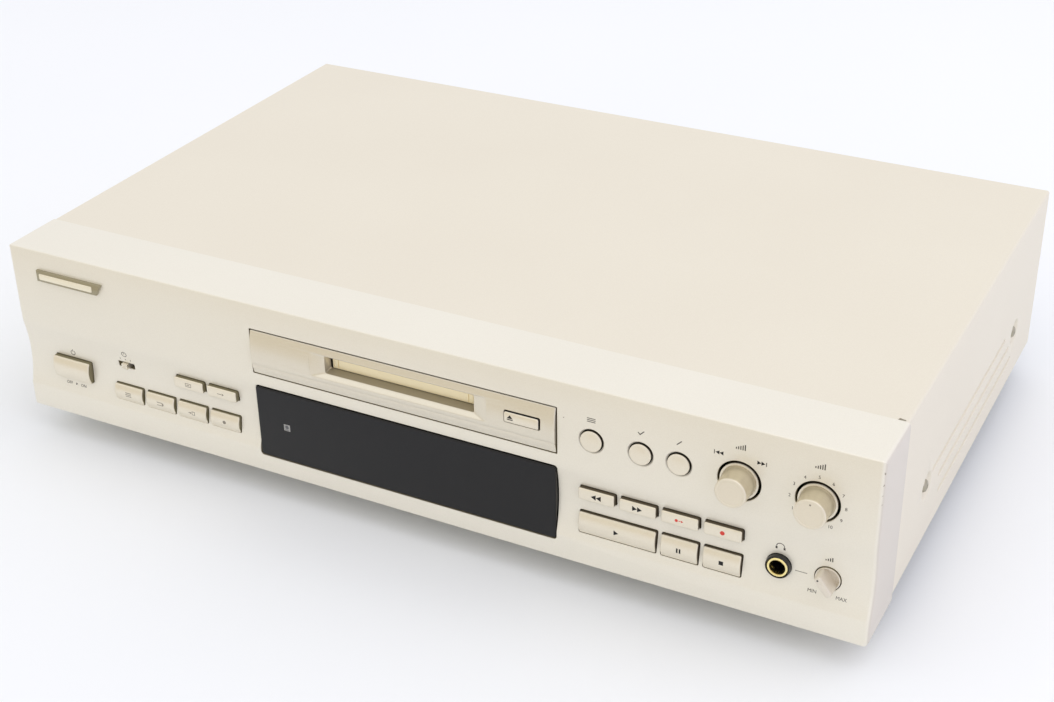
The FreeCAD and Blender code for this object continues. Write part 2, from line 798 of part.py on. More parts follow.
SIDE_SCREWS = [("74.5", "28.5"), ("226", "26.5")]
SIDE_GROOVES = [("82", "206", "32"), ("94", "217", "22.5"), ("97", "225", "13")]
REAR_SCREWS = [("-198", "20"), ("198", "20"), ("-198", "42"), ("198", "42")]


def top_cover():
    """One bent steel sheet with dished screw places and three pressed grooves on each side."""
    body = doc.addObject("PartDesign::Body", "cover_shell")
    sketch = sketch_on(body, "XZ_Plane", "cover_section")
    half = "(case_width / 2 - cover_step)"
    top = "(panel_height - cover_drop)"
    outline(sketch, [
        (f"0 - {half}", "0"), (f"0 - {half} + steel", "0"),
        (f"0 - {half} + steel", f"{top} - steel"), (f"{half} - steel", f"{top} - steel"),
        (f"{half} - steel", "0"), (half, "0"), (half, top), (f"0 - {half}", top)])
    sheet_metal = extrude(body, "Pad", sketch, "case_depth - seam_depth", reverse=True)
    limit = value(top) - 0.01
    bends = edges_where(sheet_metal, lambda middle, edge: middle.z > limit and
                        abs(abs(middle.x) - value(half)) < 0.01)
    fillet(body, sheet_metal, bends, "cover_edge_radius")
    place(body, "0", "seam_depth", "0")
    cups = []
    cutters = []
    for side, sign, inward in (("left", "0 -", "x"), ("right", "0 +", "-x")):
        for index, (depth, up) in enumerate(SIDE_SCREWS):
            name = f"dish_{side}_{index}"
            cups.append(cone(f"{name}_cup", inward, "cup_mouth_radius", "cup_floor_radius",
                             "dish_depth + steel", f"{sign} {half}", depth, up))
            cutters.append(cone(f"{name}_hollow", inward, "dish_mouth_radius",
                                "dish_floor_radius", "dish_depth", f"{sign} {half}", depth, up))
            cutters.append(rod(f"{name}_hole", inward, "screw_hole_radius", "6",
                               f"{sign} {half}", depth, up))
        for index, (near, far, up) in enumerate(SIDE_GROOVES):
            cutters.append(box(f"groove_{side}_{index}",
                               (f"{sign} {half} - steel / 2", near, f"{up} - groove_half_height"),
                               (f"{sign} {half} + steel / 2", far, f"{up} + groove_half_height")))
    keep(cut("top_cover", joined("cover_solid", [body] + cups), cutters))


def bottom_chassis():
    """Steel pan with a front wall, side flanges, rear tabs and pressed board posts."""
    edge = "chassis_half_width"
    solids = [
        box("chassis_floor", (f"0 - {edge}", "chassis_front", "0"),
            (edge, "chassis_rear", "chassis_steel")),
        box("chassis_wall", (f"0 - {edge}", "chassis_front", "0"),
            (edge, "chassis_front + chassis_steel", "panel_height - top_clearance")),
    ]
    for side, near, far in (("left", f"0 - {edge}", f"0 - {edge} + chassis_steel"),
                            ("right", f"{edge} - chassis_steel", edge)):
        solids.append(box(f"chassis_flange_{side}", (near, "chassis_front", "0"),
                          (far, "chassis_rear", "chassis_flange_height")))
    for side, low_x, high_x in (("left", f"0 - {edge}", "0 - tab_inner_x"),
                                ("right", "tab_inner_x", edge)):
        solids.append(box(f"chassis_tab_{side}", (low_x, "chassis_rear - chassis_steel", "0"),
                          (high_x, "chassis_rear", "chassis_flange_height")))
    for index, (x, depth) in enumerate(board_post_places()):
        solids.append(rod(f"board_post_{index}", "z", "post_radius", "main_board_up", x, depth, "0"))
    cutters = [
        box("mechanism_window",
            ("0 - holder_half_width - window_margin", "30", "holder_low - holder_drop - window_margin"),
            ("holder_half_width + window_margin", "35", "holder_low + holder_height + window_margin")),
        box("jack_window", ("jack_x - window_margin", "30", "jack_up - window_margin"),
            ("jack_x + window_margin", "35", "jack_up + window_margin")),
    ]
    for sign in ("0 -", "0 +"):
        for index, (depth, up) in enumerate(SIDE_SCREWS):
            cutters.append(rod(f"flange_hole_{'left' if '-' in sign else 'right'}_{index}", "x",
                               "screw_hole_radius", "4", f"{sign} {edge} - 2", depth, up))
    for index, (x, up) in enumerate(REAR_SCREWS):
        cutters.append(rod(f"tab_hole_{index}", "y", "screw_hole_radius", "4", x,
                           "chassis_rear - 2", up))
    keep(cut("bottom_chassis", joined("chassis_solid", solids), cutters))


def rear_panel():
    """Steel plate between the cover's sides, with an opening for each socket."""
    plate = box("rear_plate", ("0 - rear_plate_half_width", "chassis_rear", "0"),
                ("rear_plate_half_width", "rear_face - rear_plate_gap",
                 "panel_height - top_clearance"))
    cutters = []
    for index, (x, up) in enumerate(RCA_PLACES):
        cutters.append(rod(f"rca_opening_{index}", "y", "rca_opening_radius", "4", x, "264", up))
    for index, (x, up) in enumerate(OPTICAL_PLACES):
        wide, high = "(optical_half_width + opening_gap)", "(optical_half_height + opening_gap)"
        cutters.append(box(f"optical_opening_{index}", (f"{x} - {wide}", "264", f"{up} - {high}"),
                           (f"{x} + {wide}", "269", f"{up} + {high}")))
    x, up = INLET_PLACE
    wide, high = "(inlet_half_width + opening_gap)", "(inlet_half_height + opening_gap)"
    cutters.append(box("inlet_opening", (f"{x} - {wide}", "264", f"{up} - {high}"),
                       (f"{x} + {wide}", "269", f"{up} + {high}")))
    for index, (screw_x, screw_up) in enumerate(REAR_SCREWS):
        cutters.append(rod(f"rear_screw_hole_{index}", "y", "screw_hole_radius", "4",
                           screw_x, "264", screw_up))
    keep(cut("rear_panel", plate, cutters))


def case_screws():
    """Eight like pan-head screws: four through the cover's sides, four through the rear panel."""
    screws = []

    def screw(name, along, x, depth, up, head_back):
        """A screw whose head's under face is at a place; head_back is where its head starts."""
        shank = rod(f"{name}_shank", along, "screw_radius", "screw_length", x, depth, up)
        head = rod(f"{name}_head", along, "screw_head_radius", "screw_head_height", *head_back)
        screws.append(joined(name, [shank, head]))

    seat = "(case_width / 2 - cover_step - dish_depth)"
    for side, sign in (("left", "0 -"), ("right", "0 +")):
        for index, (depth, up) in enumerate(SIDE_SCREWS):
            if side == "left":
                shank_x, head_x = f"{sign} {seat}", f"{sign} {seat} - screw_head_height"
            else:
                shank_x, head_x = f"{seat} - screw_length", seat
            screw(f"screw_{side}_{index}", "x", shank_x, depth, up, (head_x, depth, up))
    face = "rear_face - rear_plate_gap"
    for index, (x, up) in enumerate(REAR_SCREWS):
        screw(f"screw_rear_{index}", "y", x, f"{face} - screw_length", up, (x, face, up))
    keep(group("case_screws", screws))


FOOT_PLACES = [(x, depth) for x in ("-160", "160") for depth in ("60", "225")]


def feet():
    """Four turned plastic feet, each with a rubber pad set into its underside."""
    bodies = []
    pads = []
    for index, (x, depth) in enumerate(FOOT_PLACES):
        low = "pad_inset - foot_height"
        outer = cone(f"foot_{index}_outer", "z", "foot_low_radius", "foot_top_radius",
                     "foot_height - pad_inset", x, depth, low)
        recess = rod(f"foot_{index}_recess", "z", "pad_radius + pad_gap", "pad_thick - pad_inset",
                     x, depth, low)
        bodies.append(cut(f"foot_{index}", outer, [recess]))
        pads.append(rod(f"pad_{index}", "z", "pad_radius", "pad_thick", x, depth, "0 - foot_height"))
    keep(group("feet", bodies))
    keep(group("foot_pads", pads))


# ---------------------------------------------------------------- rear sockets

RCA_PLACES = [("165", "52"), ("165", "32"), ("138", "52"), ("138", "32"), ("102", "32")]
OPTICAL_PLACES = [("72", "50"), ("48", "50"), ("24", "50")]
INLET_PLACE = ("-150", "30")


def rear_sockets():
    """The line and coaxial jacks, the optical sockets and the two-pin mains inlet."""
    jacks = []
    for index, (x, up) in enumerate(RCA_PLACES):
        flange = rod(f"rca_{index}_flange", "y", "rca_flange_radius", "rca_flange_thick",
                     x, "chassis_rear - rca_flange_thick", up)
        neck = rod(f"rca_{index}_neck", "y", "rca_neck_radius", "rear_face - chassis_rear",
                   x, "chassis_rear", up)
        tube = rod(f"rca_{index}_tube", "y", "rca_radius", "rca_proud", x, "rear_face", up)
        hole = rod(f"rca_{index}_hole", "y", "rca_bore", "rca_bore_depth",
                   x, "rear_face + rca_proud - rca_bore_depth", up)
        solid = joined(f"rca_{index}_solid", [flange, neck, tube])
        jacks.append(cut(f"rca_{index}", solid, [hole]))
    keep(group("rca_jacks", jacks))
    sockets = []
    for index, (x, up) in enumerate(OPTICAL_PLACES):
        block = box(f"optical_{index}_block",
                    (f"{x} - optical_half_width", "chassis_rear - optical_depth",
                     f"{up} - optical_half_height"),
                    (f"{x} + optical_half_width", "rear_face + optical_proud",
                     f"{up} + optical_half_height"))
        shutter = box(f"optical_{index}_recess",
                      (f"{x} - shutter_half", "rear_face + 0.4", f"{up} - shutter_half"),
                      (f"{x} + shutter_half", "rear_face + 2", f"{up} + shutter_half"))
        sockets.append(cut(f"optical_{index}", block, [shutter]))
    keep(group("optical_sockets", sockets))
    x, up = INLET_PLACE

    def slab(name, half_width, half_height, near, far):
        """A block of the inlet about its middle line."""
        return box(name, (f"{x} - {half_width}", near, f"{up} - {half_height}"),
                   (f"{x} + {half_width}", far, f"{up} + {half_height}"))

    block = slab("inlet_block", "inlet_half_width", "inlet_half_height",
                 "chassis_rear - inlet_depth", "rear_face")
    lip = slab("inlet_lip", "inlet_lip_half_width", "inlet_lip_half_height",
               "rear_face - rear_plate_gap", "rear_face + inlet_lip_proud")
    hollow = slab("inlet_hollow", "inlet_hollow_half_width", "inlet_hollow_half_height",
                  "chassis_rear - inlet_hollow_depth", "rear_face + 3")
    housing = cut("inlet_housing", joined("inlet_solid", [block, lip]), [hollow])
    pins = [rod(f"inlet_pin_{name}", "y", "inlet_pin_radius", "inlet_pin_length",
                f"{x} {sign} inlet_pin_x", "chassis_rear - inlet_hollow_depth - 0.5", up)
            for name, sign in (("left", "-"), ("right", "+"))]
    keep(joined("ac_inlet", [housing] + pins))


# ---------------------------------------------------------------- boards

def switch_places():
    """Centre (x, up) of the tact switch behind each pushed piece."""
    places = [(f"{left} + ({width}) / 2", f"{low} + {height} / 2")
              for _, left, width, low, height in key_places()]
    places += [(x, "round_button_up") for _, x in round_button_places()]
    places.append(("eject_left + eject_width / 2", "eject_low + eject_height / 2"))
    places.append(("power_left + power_width / 2", "power_low + power_height / 2"))
    return places


def board_post_places():
    """Where the main board stands on the chassis."""
    return [(x, depth) for x in ("-52", "70", "192") for depth in ("158", "247")]


def front_boards():
    """Board behind the panel with its tact switches, display tube and timer switch."""
    rear = "front_board_depth + board"
    edge = "front_board_half_width"
    strip = box("front_board_strip", (f"0 - {edge}", "front_board_depth", "5"), (edge, rear, "45"))
    wing = box("front_board_wing", ("46", "front_board_depth", "45"), (edge, rear, "76"))
    room = "(jack_block_half + 0.5)"
    notch = box("front_board_notch", (f"jack_x - {room}", "10", f"jack_up - {room}"),
                (f"jack_x + {room}", "20", f"jack_up + {room}"))
    keep(cut("front_board", joined("front_board_solid", [strip, wing]), [notch]))
    half = "switch_size / 2"
    keep(group("tact_switches", [
        box(f"tact_{index}",
            (f"{x} - {half}", "front_board_depth - switch_height", f"{up} - {half}"),
            (f"{x} + {half}", "front_board_depth", f"{up} + {half}"))
        for index, (x, up) in enumerate(switch_places())]))
    tube = box("tube_glass", ("-62", "6.8", "12"), ("62", "11.5", "38"))
    stand = box("tube_stand", ("-58", "11.5", "15"), ("58", "front_board_depth", "35"))
    keep(joined("display_tube", [tube, stand]))
    body = box("timer_switch_block", ("timer_x - 7", "8.7", "timer_up - 3"),
               ("timer_x + 7", "front_board_depth", "timer_up + 3"))
    track = box("timer_switch_track", ("timer_x - 5.2", "8", "timer_up - 1.1"),
                ("timer_x + 5.2", "10.7", "timer_up + 1.1"))
    keep(cut("timer_switch", body, [track]))


def main_board():
    """Main board on its posts with chips, capacitors and the regulators' heat sink."""
    top = "main_board_up + board"
    keep(box("main_board", ("-60", "main_board_front", "main_board_up"),
             ("200", "main_board_rear", top)))
    # left edge, front edge, width and length of each chip
    chips = [("0", "175", "16", "16"), ("34", "180", "20", "14"), ("70", "172", "12", "12"),
             ("95", "188", "14", "10"), ("125", "178", "18", "18"), ("20", "215", "14", "14"),
             ("60", "222", "10", "16"), ("160", "196", "12", "8")]
    keep(group("board_chips", [
        box(f"chip_{index}", (x, depth, top), (f"{x} + {wide}", f"{depth} + {deep}",
                                                   f"{top} + chip_height"))
        for index, (x, depth, wide, deep) in enumerate(chips)]))
    # centre, radius and height of each capacitor
    capacitors = [("-40", "185", "8", "28"), ("-40", "210", "8", "28"), ("-18", "232", "5", "16"),
                  ("100", "230", "4", "12"), ("115", "230", "4", "12"), ("150", "225", "5", "14"),
                  ("180", "180", "4", "12"), ("180", "210", "4", "12")]
    keep(group("capacitors", [
        rod(f"capacitor_{index}", "z", radius, height, x, depth, top)
        for index, (x, depth, radius, height) in enumerate(capacitors)]))


def power_supply():
    """Transformer core with its coil, and a finned heat sink."""
    floor = "chassis_steel"
    block = box("core_block", ("core_x - core_half_width", "core_front", floor),
                ("core_x + core_half_width", "core_rear", f"{floor} + core_height"))
    low, high = f"{floor} + core_yoke", f"{floor} + core_height - core_yoke"
    sides = (("left", "core_x - 2 * core_leg_half_width", "core_x - core_leg_half_width"),
             ("right", "core_x + core_leg_half_width", "core_x + 2 * core_leg_half_width"))
    windows = [box(f"core_window_{side}", (near, "core_front - 2", low), (far, "core_rear + 2", high))
               for side, near, far in sides]
    keep(cut("transformer_core", block, windows))
    reach = "(2 * core_leg_half_width - coil_gap)"
    winding = box("coil_block", (f"core_x - {reach}", "coil_front", f"{low} + coil_gap"),
                  (f"core_x + {reach}", "coil_rear", f"{high} - coil_gap"))
    leg = box("coil_leg_room", ("core_x - core_leg_half_width", "core_front", floor),
              ("core_x + core_leg_half_width", "core_rear", f"{floor} + core_height"))
    keep(cut("transformer_coil", winding, [leg]))
    top = f"{floor} + sink_height"
    fins = [box("sink_plate_solid", ("sink_x - sink_plate", "sink_front", floor),
                ("sink_x", "sink_front + sink_length", top))]
    for index in range(7):
        near = f"sink_front + 1 + {index} * fin_pitch"
        fins.append(box(f"sink_fin_{index}", ("sink_x - sink_reach", near, floor),
                        ("sink_x - sink_plate", f"{near} + fin_thick", top)))
    keep(joined("heat_sink", fins))


# ---------------------------------------------------------------- disc mechanism

def mechanism_frame():
    """Deck plate on legs, with slotted side walls and a rear wall for the rods and head arm."""
    top = "deck_plate_up + deck_plate"
    edge = "frame_half_width"
    solids = [box("deck_plate_solid", (f"0 - {edge}", "frame_front", "deck_plate_up"),
                  (edge, "frame_rear + 12", top))]
    for index, (x, depth) in enumerate((x, depth) for x in ("-44", "44") for depth in ("42", "144")):
        solids.append(rod(f"deck_leg_{index}", "z", "leg_radius", "deck_plate_up - chassis_steel",
                          x, depth, "chassis_steel"))
    for side, near, far in (("left", f"0 - {edge}", f"0 - {edge} + deck_plate"),
                            ("right", f"{edge} - deck_plate", edge)):
        solids.append(box(f"deck_side_{side}", (near, "frame_front", top),
                          (far, "frame_rear + deck_plate", "frame_side_top")))
    solids.append(box("deck_rear", (f"0 - {edge}", "frame_rear", top),
                      (edge, "frame_rear + deck_plate", "frame_rear_top")))
    solids.append(box("rod_web", ("-30", "90.5", top), ("36", "92", "46")))
    for side, near, far in (("left", "-9", "-7"), ("right", "7", "9")):
        solids.append(box(f"arm_ear_{side}", (near, "arm_pivot_depth - 4", "arm_pivot_up - 4"),
                          (far, "frame_rear", "frame_rear_top")))
    cutters = [rod(f"rod_hole_{side}", "y", "rod_radius + 0.02", "60", x, "85", "rod_up")
               for side, x in (("left", "0 - rod_x"), ("right", "rod_x"))]
    cutters.append(rod("lead_screw_hole", "y", "lead_screw_radius + pin_clearance", "60",
                       "screw_x", "85", "rod_up"))
    cutters.append(rod("arm_pin_hole", "x", "arm_pin_radius + pin_clearance", "24", "-12",
                       "arm_pivot_depth", "arm_pivot_up"))
    cutters.append(rod("spindle_hole", "z", "5", "8", "0", "spindle_depth", "deck_plate_up - 3"))
    cutters.append(rod("gear_shaft_hole", "z", "gear_shaft_radius + pin_clearance", "8",
                       "gear_x", "gear_depth", "deck_plate_up - 3"))
    for index, depth in enumerate(HOLDER_PINS):
        cutters.append(box(f"pin_slot_{index}",
                           ("-52", f"{depth} - pin_slot_half",
                            "holder_pin_up - holder_drop - pin_slot_margin"),
                           ("52", f"{depth} + pin_slot_half", "holder_pin_up + pin_slot_margin")))
    keep(cut("mechanism_frame", joined("frame_solid", solids), cutters))


HOLDER_PINS = ("50", "100")


def cartridge_holder():
    """Channel that takes the cartridge, open below for the turntable and above for the head."""
    edge = "holder_half_width"
    top = "holder_low + holder_height"
    solids = [box("holder_floor", (f"0 - {edge}", "holder_front", "holder_low"),
                  (edge, "holder_rear", "holder_low + 1"))]
    for side, sign in (("left", "0 -"), ("right", "0 +")):
        walls = (f"{sign} {edge}", f"{sign} {edge} + 1") if side == "left" else (
            f"{sign} {edge} - 1", f"{sign} {edge}")
        lips = (f"{sign} {edge}", "-30") if side == "left" else ("30", f"{sign} {edge}")
        stops = (f"{sign} {edge}", "-14") if side == "left" else ("14", f"{sign} {edge}")
        solids.append(box(f"holder_wall_{side}", (walls[0], "holder_front", "holder_low"),
                          (walls[1], "holder_rear", top)))
        solids.append(box(f"holder_lip_{side}", (lips[0], "holder_front", f"{top} - 1"),
                          (lips[1], "holder_rear", top)))
        solids.append(box(f"holder_stop_{side}", (stops[0], "holder_rear - 1", "holder_low"),
                          (stops[1], "holder_rear", top)))
        for index, depth in enumerate(HOLDER_PINS):
            start = f"{sign} {edge} - 11.6" if side == "left" else f"{edge} - 0.1"
            solids.append(rod(f"holder_pin_{side}_{index}", "x", "holder_pin_radius", "11.7",
                              start, depth, "holder_pin_up"))
    window = box("holder_window", ("-14", "60", "holder_low - 1"), ("14", "120", "holder_low + 2"))
    keep(cut("cartridge_holder", joined("holder_solid", solids), [window]))


def disc_drive():
    """Spindle motor and turntable, pickup sled on its rods with the lead screw, and motors."""
    top = "deck_plate_up + deck_plate"
    motor = rod("spindle_motor_can", "z", "11", "9", "0", "spindle_depth", top)
    well = rod("spindle_motor_well", "z", "1 + pin_clearance", "5", "0", "spindle_depth", "40")
    keep(cut("spindle_motor", motor, [well]))
    keep(joined("turntable", [
        rod("turntable_shaft", "z", "1", "6", "0", "spindle_depth", "40.5"),
        rod("turntable_disc", "z", "8.5", "2", "0", "spindle_depth", "46"),
        cone("turntable_hub", "z", "5.6", "4.5", "3", "0", "spindle_depth", "48")]))
    keep(group("guide_rods", [
        rod(f"guide_rod_{side}", "y", "rod_radius", "49", x, "90.5", "rod_up")
        for side, x in (("left", "0 - rod_x"), ("right", "rod_x"))]))
    keep(rod("lead_screw", "y", "lead_screw_radius", "53", "screw_x", "91", "rod_up"))
    sled = box("sled_block", ("-24", "96", "37.5"), ("32", "116", "45.5"))
    lens = rod("pickup_lens", "z", "3", "2", "0", "99", "45.5")
    holes = [rod(f"sled_hole_{side}", "y", "rod_radius + 0.06", "30", x, "90", "rod_up")
             for side, x in (("left", "0 - rod_x"), ("right", "rod_x"))]
    holes.append(rod("sled_nut", "y", "lead_screw_radius + 0.06", "30", "screw_x", "90", "rod_up"))
    keep(cut("optical_pickup", joined("pickup_solid", [sled, lens]), holes))
    sled_motor = cut("sled_motor", rod("sled_motor_can", "y", "5.4", "17", "screw_x", "139.5", "rod_up"),
                     [rod("sled_motor_bore", "y", "lead_screw_radius + pin_clearance", "8",
                           "screw_x", "138", "rod_up")])
    loading_motor = cut(
        "loading_motor", rod("loading_motor_can", "z", "9", "14", "gear_x", "gear_depth", "20"),
        [rod("loading_motor_bore", "z", "gear_shaft_radius + pin_clearance", "5",
             "gear_x", "gear_depth", "29.5")])
    keep(group("drive_motors", [sled_motor, loading_motor]))


GEAR_TEETH = 24


def loading_gear():
    """Toothed cam gear on the loading motor's shaft."""
    body = doc.addObject("PartDesign::Body", "loading_gear")
    blank = sketch_on(body, "XY_Plane", "gear_blank", "gear_lift")
    circle(blank, "gear_radius")
    extrude(body, "Pad", blank, "gear_thick")
    axle = sketch_on(body, "XY_Plane", "gear_axle")
    circle(axle, "gear_shaft_radius")
    extrude(body, "Pad", axle, "6.5")
    doc.recompute()
    gap = sketch_on(body, "XY_Plane", "gear_gap", "gear_lift")
    outside = "gear_radius + 0.4"
    outline(gap, [("gear_root_radius", "-0.35"), (outside, "-0.75"), (outside, "0.75"),
                  ("gear_root_radius", "0.35")])
    notch = extrude(body, "Pocket", gap, "gear_thick + 0.1", reverse=True)
    pattern = body.newObject("PartDesign::PolarPattern", "gear_teeth")
    pattern.Originals = [notch]
    pattern.Axis = (gap, ["N_Axis"])
    pattern.Angle = 360.0
    pattern.Occurrences = GEAR_TEETH
    body.Tip = pattern
    keep(place(body, "gear_x", "gear_depth", "deck_plate_up"))


def head_arm():
    """Magnetic head on its arm, with the pivot pin across its rear end."""
    half, pivot = "arm_half_width", ("arm_pivot_depth", "arm_pivot_up")
    keep(joined("head_arm", [
        box("arm_bar", (f"0 - {half}", "84", "69.2"), (half, "arm_pivot_depth", "70.4")),
        rod("arm_hub", "x", "2.2", "13", "-6.5", *pivot),
        rod("arm_pin", "x", "arm_pin_radius", "18", "-9", *pivot),
        box("head_block", (f"0 - {half}", "84", "67"), (half, "92", "69.2"))]))


front_panel()
keys_and_buttons()
disc_bezel()
disc_flap()
display_window()
knobs()
rotary_controls()
headphone_jack()
top_cover()
bottom_chassis()
rear_panel()
case_screws()
feet()
rear_sockets()
front_boards()
main_board()
power_supply()
mechanism_frame()
cartridge_holder()
disc_drive()
loading_gear()
head_arm()
doc.recompute()

# ---------------------------------------------------------------- checks and export

for thing in doc.Objects:
    if {"Invalid", "Error"} & set(thing.State):
        raise RuntimeError(f"{thing.Name} failed: {thing.State}")
labels = [node.Label for node in nodes]
if len(set(labels)) != len(labels) or len(labels) > 60:
    raise RuntimeError(f"{len(labels)} nodes with {len(set(labels))} names")
for node in nodes:
    if node.Shape.isNull() or not node.Shape.isValid() or not node.Shape.Solids:
        raise RuntimeError(f"{node.Label} has no valid solid")
for node in nodes:
    node.Shape.exportStep(f"parts/{node.Label}.step")
whole = Part.makeCompound([node.Shape for node in nodes]).BoundBox
print(len(nodes), "nodes", round(whole.XMin, 2), round(whole.XMax, 2), round(whole.YMin, 2),
      round(whole.YMax, 2), round(whole.ZMin, 2), round(whole.ZMax, 2))
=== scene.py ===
"""A full-width minidisc deck, dressed in the order in which it is put together.

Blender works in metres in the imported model's frame. Sizes below are in millimetres, as places
(x, depth, up): x across, depth back from the panel's face, up from the pan's underside.
"""

import json
import math

import bmesh
import bpy
from mathutils import Matrix, Vector


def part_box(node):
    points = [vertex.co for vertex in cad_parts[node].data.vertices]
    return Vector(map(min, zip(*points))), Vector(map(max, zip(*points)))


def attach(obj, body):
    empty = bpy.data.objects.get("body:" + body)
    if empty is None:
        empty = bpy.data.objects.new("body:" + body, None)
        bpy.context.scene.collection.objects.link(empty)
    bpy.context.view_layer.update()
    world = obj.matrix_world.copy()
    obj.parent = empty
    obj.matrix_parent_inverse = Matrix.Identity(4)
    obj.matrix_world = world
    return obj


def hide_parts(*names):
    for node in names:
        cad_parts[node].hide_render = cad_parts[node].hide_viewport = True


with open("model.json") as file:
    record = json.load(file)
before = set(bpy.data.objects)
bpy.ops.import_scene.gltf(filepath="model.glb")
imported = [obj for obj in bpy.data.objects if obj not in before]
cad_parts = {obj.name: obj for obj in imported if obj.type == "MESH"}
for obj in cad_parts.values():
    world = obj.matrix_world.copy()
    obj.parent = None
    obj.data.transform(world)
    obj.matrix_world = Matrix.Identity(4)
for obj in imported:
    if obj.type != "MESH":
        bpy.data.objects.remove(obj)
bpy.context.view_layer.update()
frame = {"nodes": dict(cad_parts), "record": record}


# ---------------------------------------------------------------- bottom pan and rear panel
# The pan is folded from zinc-plated steel sheet and carries everything; the rear panel is a
# flat plate of the same sheet, screwed to the pan's two tabs. Bare zinc with a fine spangle.

MM = 0.001
BAND_PROUD = 0.8
ORIGIN = Vector((0.0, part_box("front_panel")[0].y + BAND_PROUD * MM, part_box("bottom_chassis")[0].z))


def at(x, depth, up):
    """The point of Blender's frame at a place given in millimetres."""
    return ORIGIN + Vector((x, depth, up)) * MM


def span(node):
    """A node's lowest and highest corner as places in millimetres."""
    low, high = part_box(node)
    return (low - ORIGIN) / MM, (high - ORIGIN) / MM


def tone(red, green, blue):
    """A colour as light, from its screen values of 0 to 255."""
    return tuple(c / 3294.6 if c <= 10 else ((c / 255 + 0.055) / 1.055) ** 2.4
                 for c in (red, green, blue))


class Wire:
    """An output in a material's node tree; arithmetic on it adds Math nodes."""

    def __init__(self, tree, socket=None):
        self.tree = tree
        self.socket = socket

    def node(self, kind, settings=None, sockets=None, output=0):
        """Add any node: first its settings, then its sockets' values or links."""
        made = self.tree.nodes.new(kind)
        for name, setting in (settings or {}).items():
            setattr(made, name, setting)
        for name, value in (sockets or {}).items():
            target = made.inputs[name]
            if isinstance(value, Wire):
                self.tree.links.new(value.socket, target)
            elif target.type == "RGBA":
                target.default_value = (*value, 1.0)
            else:
                target.default_value = value
        return Wire(self.tree, made.outputs[output] if made.outputs else None)

    def axis(self, name):
        """One of a place's three numbers: X, Y or Z."""
        return self.node("ShaderNodeSeparateXYZ", None, {0: self}, output=name)

    def away(self, spot):
        """Distance from a point."""
        return self.node("ShaderNodeVectorMath", {"operation": "DISTANCE"}, {0: self, 1: spot},
                         output="Value")

    def math(self, operation, first, second=0.0):
        return self.node("ShaderNodeMath", {"operation": operation}, {0: first, 1: second})

    def __add__(self, other):
        return self.math("ADD", self, other)

    def __radd__(self, other):
        return self.math("ADD", other, self)

    def __sub__(self, other):
        return self.math("SUBTRACT", self, other)

    def __rsub__(self, other):
        return self.math("SUBTRACT", other, self)

    def __mul__(self, other):
        return self.math("MULTIPLY", self, other)

    def __rmul__(self, other):
        return self.math("MULTIPLY", other, self)

    def __truediv__(self, other):
        return self.math("DIVIDE", self, other)


def finish(name, **constants):
    """A new material with its constant shader values, and the Object place to vary it by."""
    material = bpy.data.materials.new(name)
    material.use_nodes = True
    shader = material.node_tree.nodes["Principled BSDF"]
    words = {"metallic": "Metallic", "coat": "Coat Weight", "coat_roughness": "Coat Roughness",
             "ior": "IOR", "specular": "Specular IOR Level"}
    for word, value in constants.items():
        shader.inputs[words[word]].default_value = value
    return material, Wire(material.node_tree).node("ShaderNodeTexCoord", output="Object")


def vary(material, **links):
    """Link what changes over the surface to the shader; height is a bump, in millimetres."""
    tree = material.node_tree
    shader = tree.nodes["Principled BSDF"]
    words = {"colour": "Base Color", "roughness": "Roughness", "metallic": "Metallic",
             "coat": "Coat Weight"}
    if "height" in links:
        height = links.pop("height")
        bump = height.node("ShaderNodeBump", None, {"Distance": MM, "Height": height})
        tree.links.new(bump.socket, shader.inputs["Normal"])
    for word, wire in links.items():
        tree.links.new(wire.socket, shader.inputs[words[word]])


def noise(place, size, detail=2.0, stretch=(1.0, 1.0, 1.0)):
    """Soft noise from 0 to 1 in blots of a size in millimetres, drawn out along the axes."""
    scale = [1 / (size * MM * long) for long in stretch]
    mapped = place.node("ShaderNodeMapping", None, {"Vector": place, "Scale": scale})
    return mapped.node("ShaderNodeTexNoise", None, {"Vector": mapped, "Scale": 1.0, "Detail": detail})


def grains(place, size):
    """A random value from 0 to 1 for each grain of a size in millimetres."""
    cells = place.node("ShaderNodeTexVoronoi", None,
                       {"Vector": place, "Scale": 1 / (size * MM)}, output="Color")
    return cells.node("ShaderNodeSeparateColor", None, {0: cells})


def mixed(factor, first, second):
    """One colour turning into another as a factor goes from 0 to 1."""
    return factor.node("ShaderNodeMix", {"data_type": "RGBA"}, {0: factor, 6: first, 7: second},
                       output=2)


def ramp(wire, low, high):
    """0 below low, 1 above high, and smooth between."""
    return wire.node("ShaderNodeMapRange", {"interpolation_type": "SMOOTHSTEP"},
                     {"Value": wire, "From Min": low, "From Max": high})


def soften(mesh, degrees=32.0):
    """Shade a mesh smooth but for edges sharper than an angle."""
    built = bmesh.new()
    built.from_mesh(mesh)
    for face in built.faces:
        face.smooth = True
    for edge in built.edges:
        edge.smooth = edge.calc_face_angle(math.pi) < math.radians(degrees)
    built.to_mesh(mesh)
    built.free()


def settled(thing):
    """Turn an object's modifiers into plain mesh."""
    graph = bpy.context.evaluated_depsgraph_get()
    mesh = bpy.data.meshes.new_from_object(thing.evaluated_get(graph))
    thing.modifiers.clear()
    thing.data = mesh
    mesh.name = thing.name
    return thing


def fit(thing, material, body, slot, *nodes):
    """Give a finished piece its material and body, and hide the nodes that it stands for; the slot is
    not used.
    """
    thing.data.materials.clear()
    thing.data.materials.append(material)
    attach(thing, body)
    if nodes:
        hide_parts(*nodes)
    return thing


def body_of(node):
    """The body that a node belongs to."""
    bodies = frame["record"]["behaviour"]["bodies"]
    return next(body for body, members in bodies.items() if node in members)


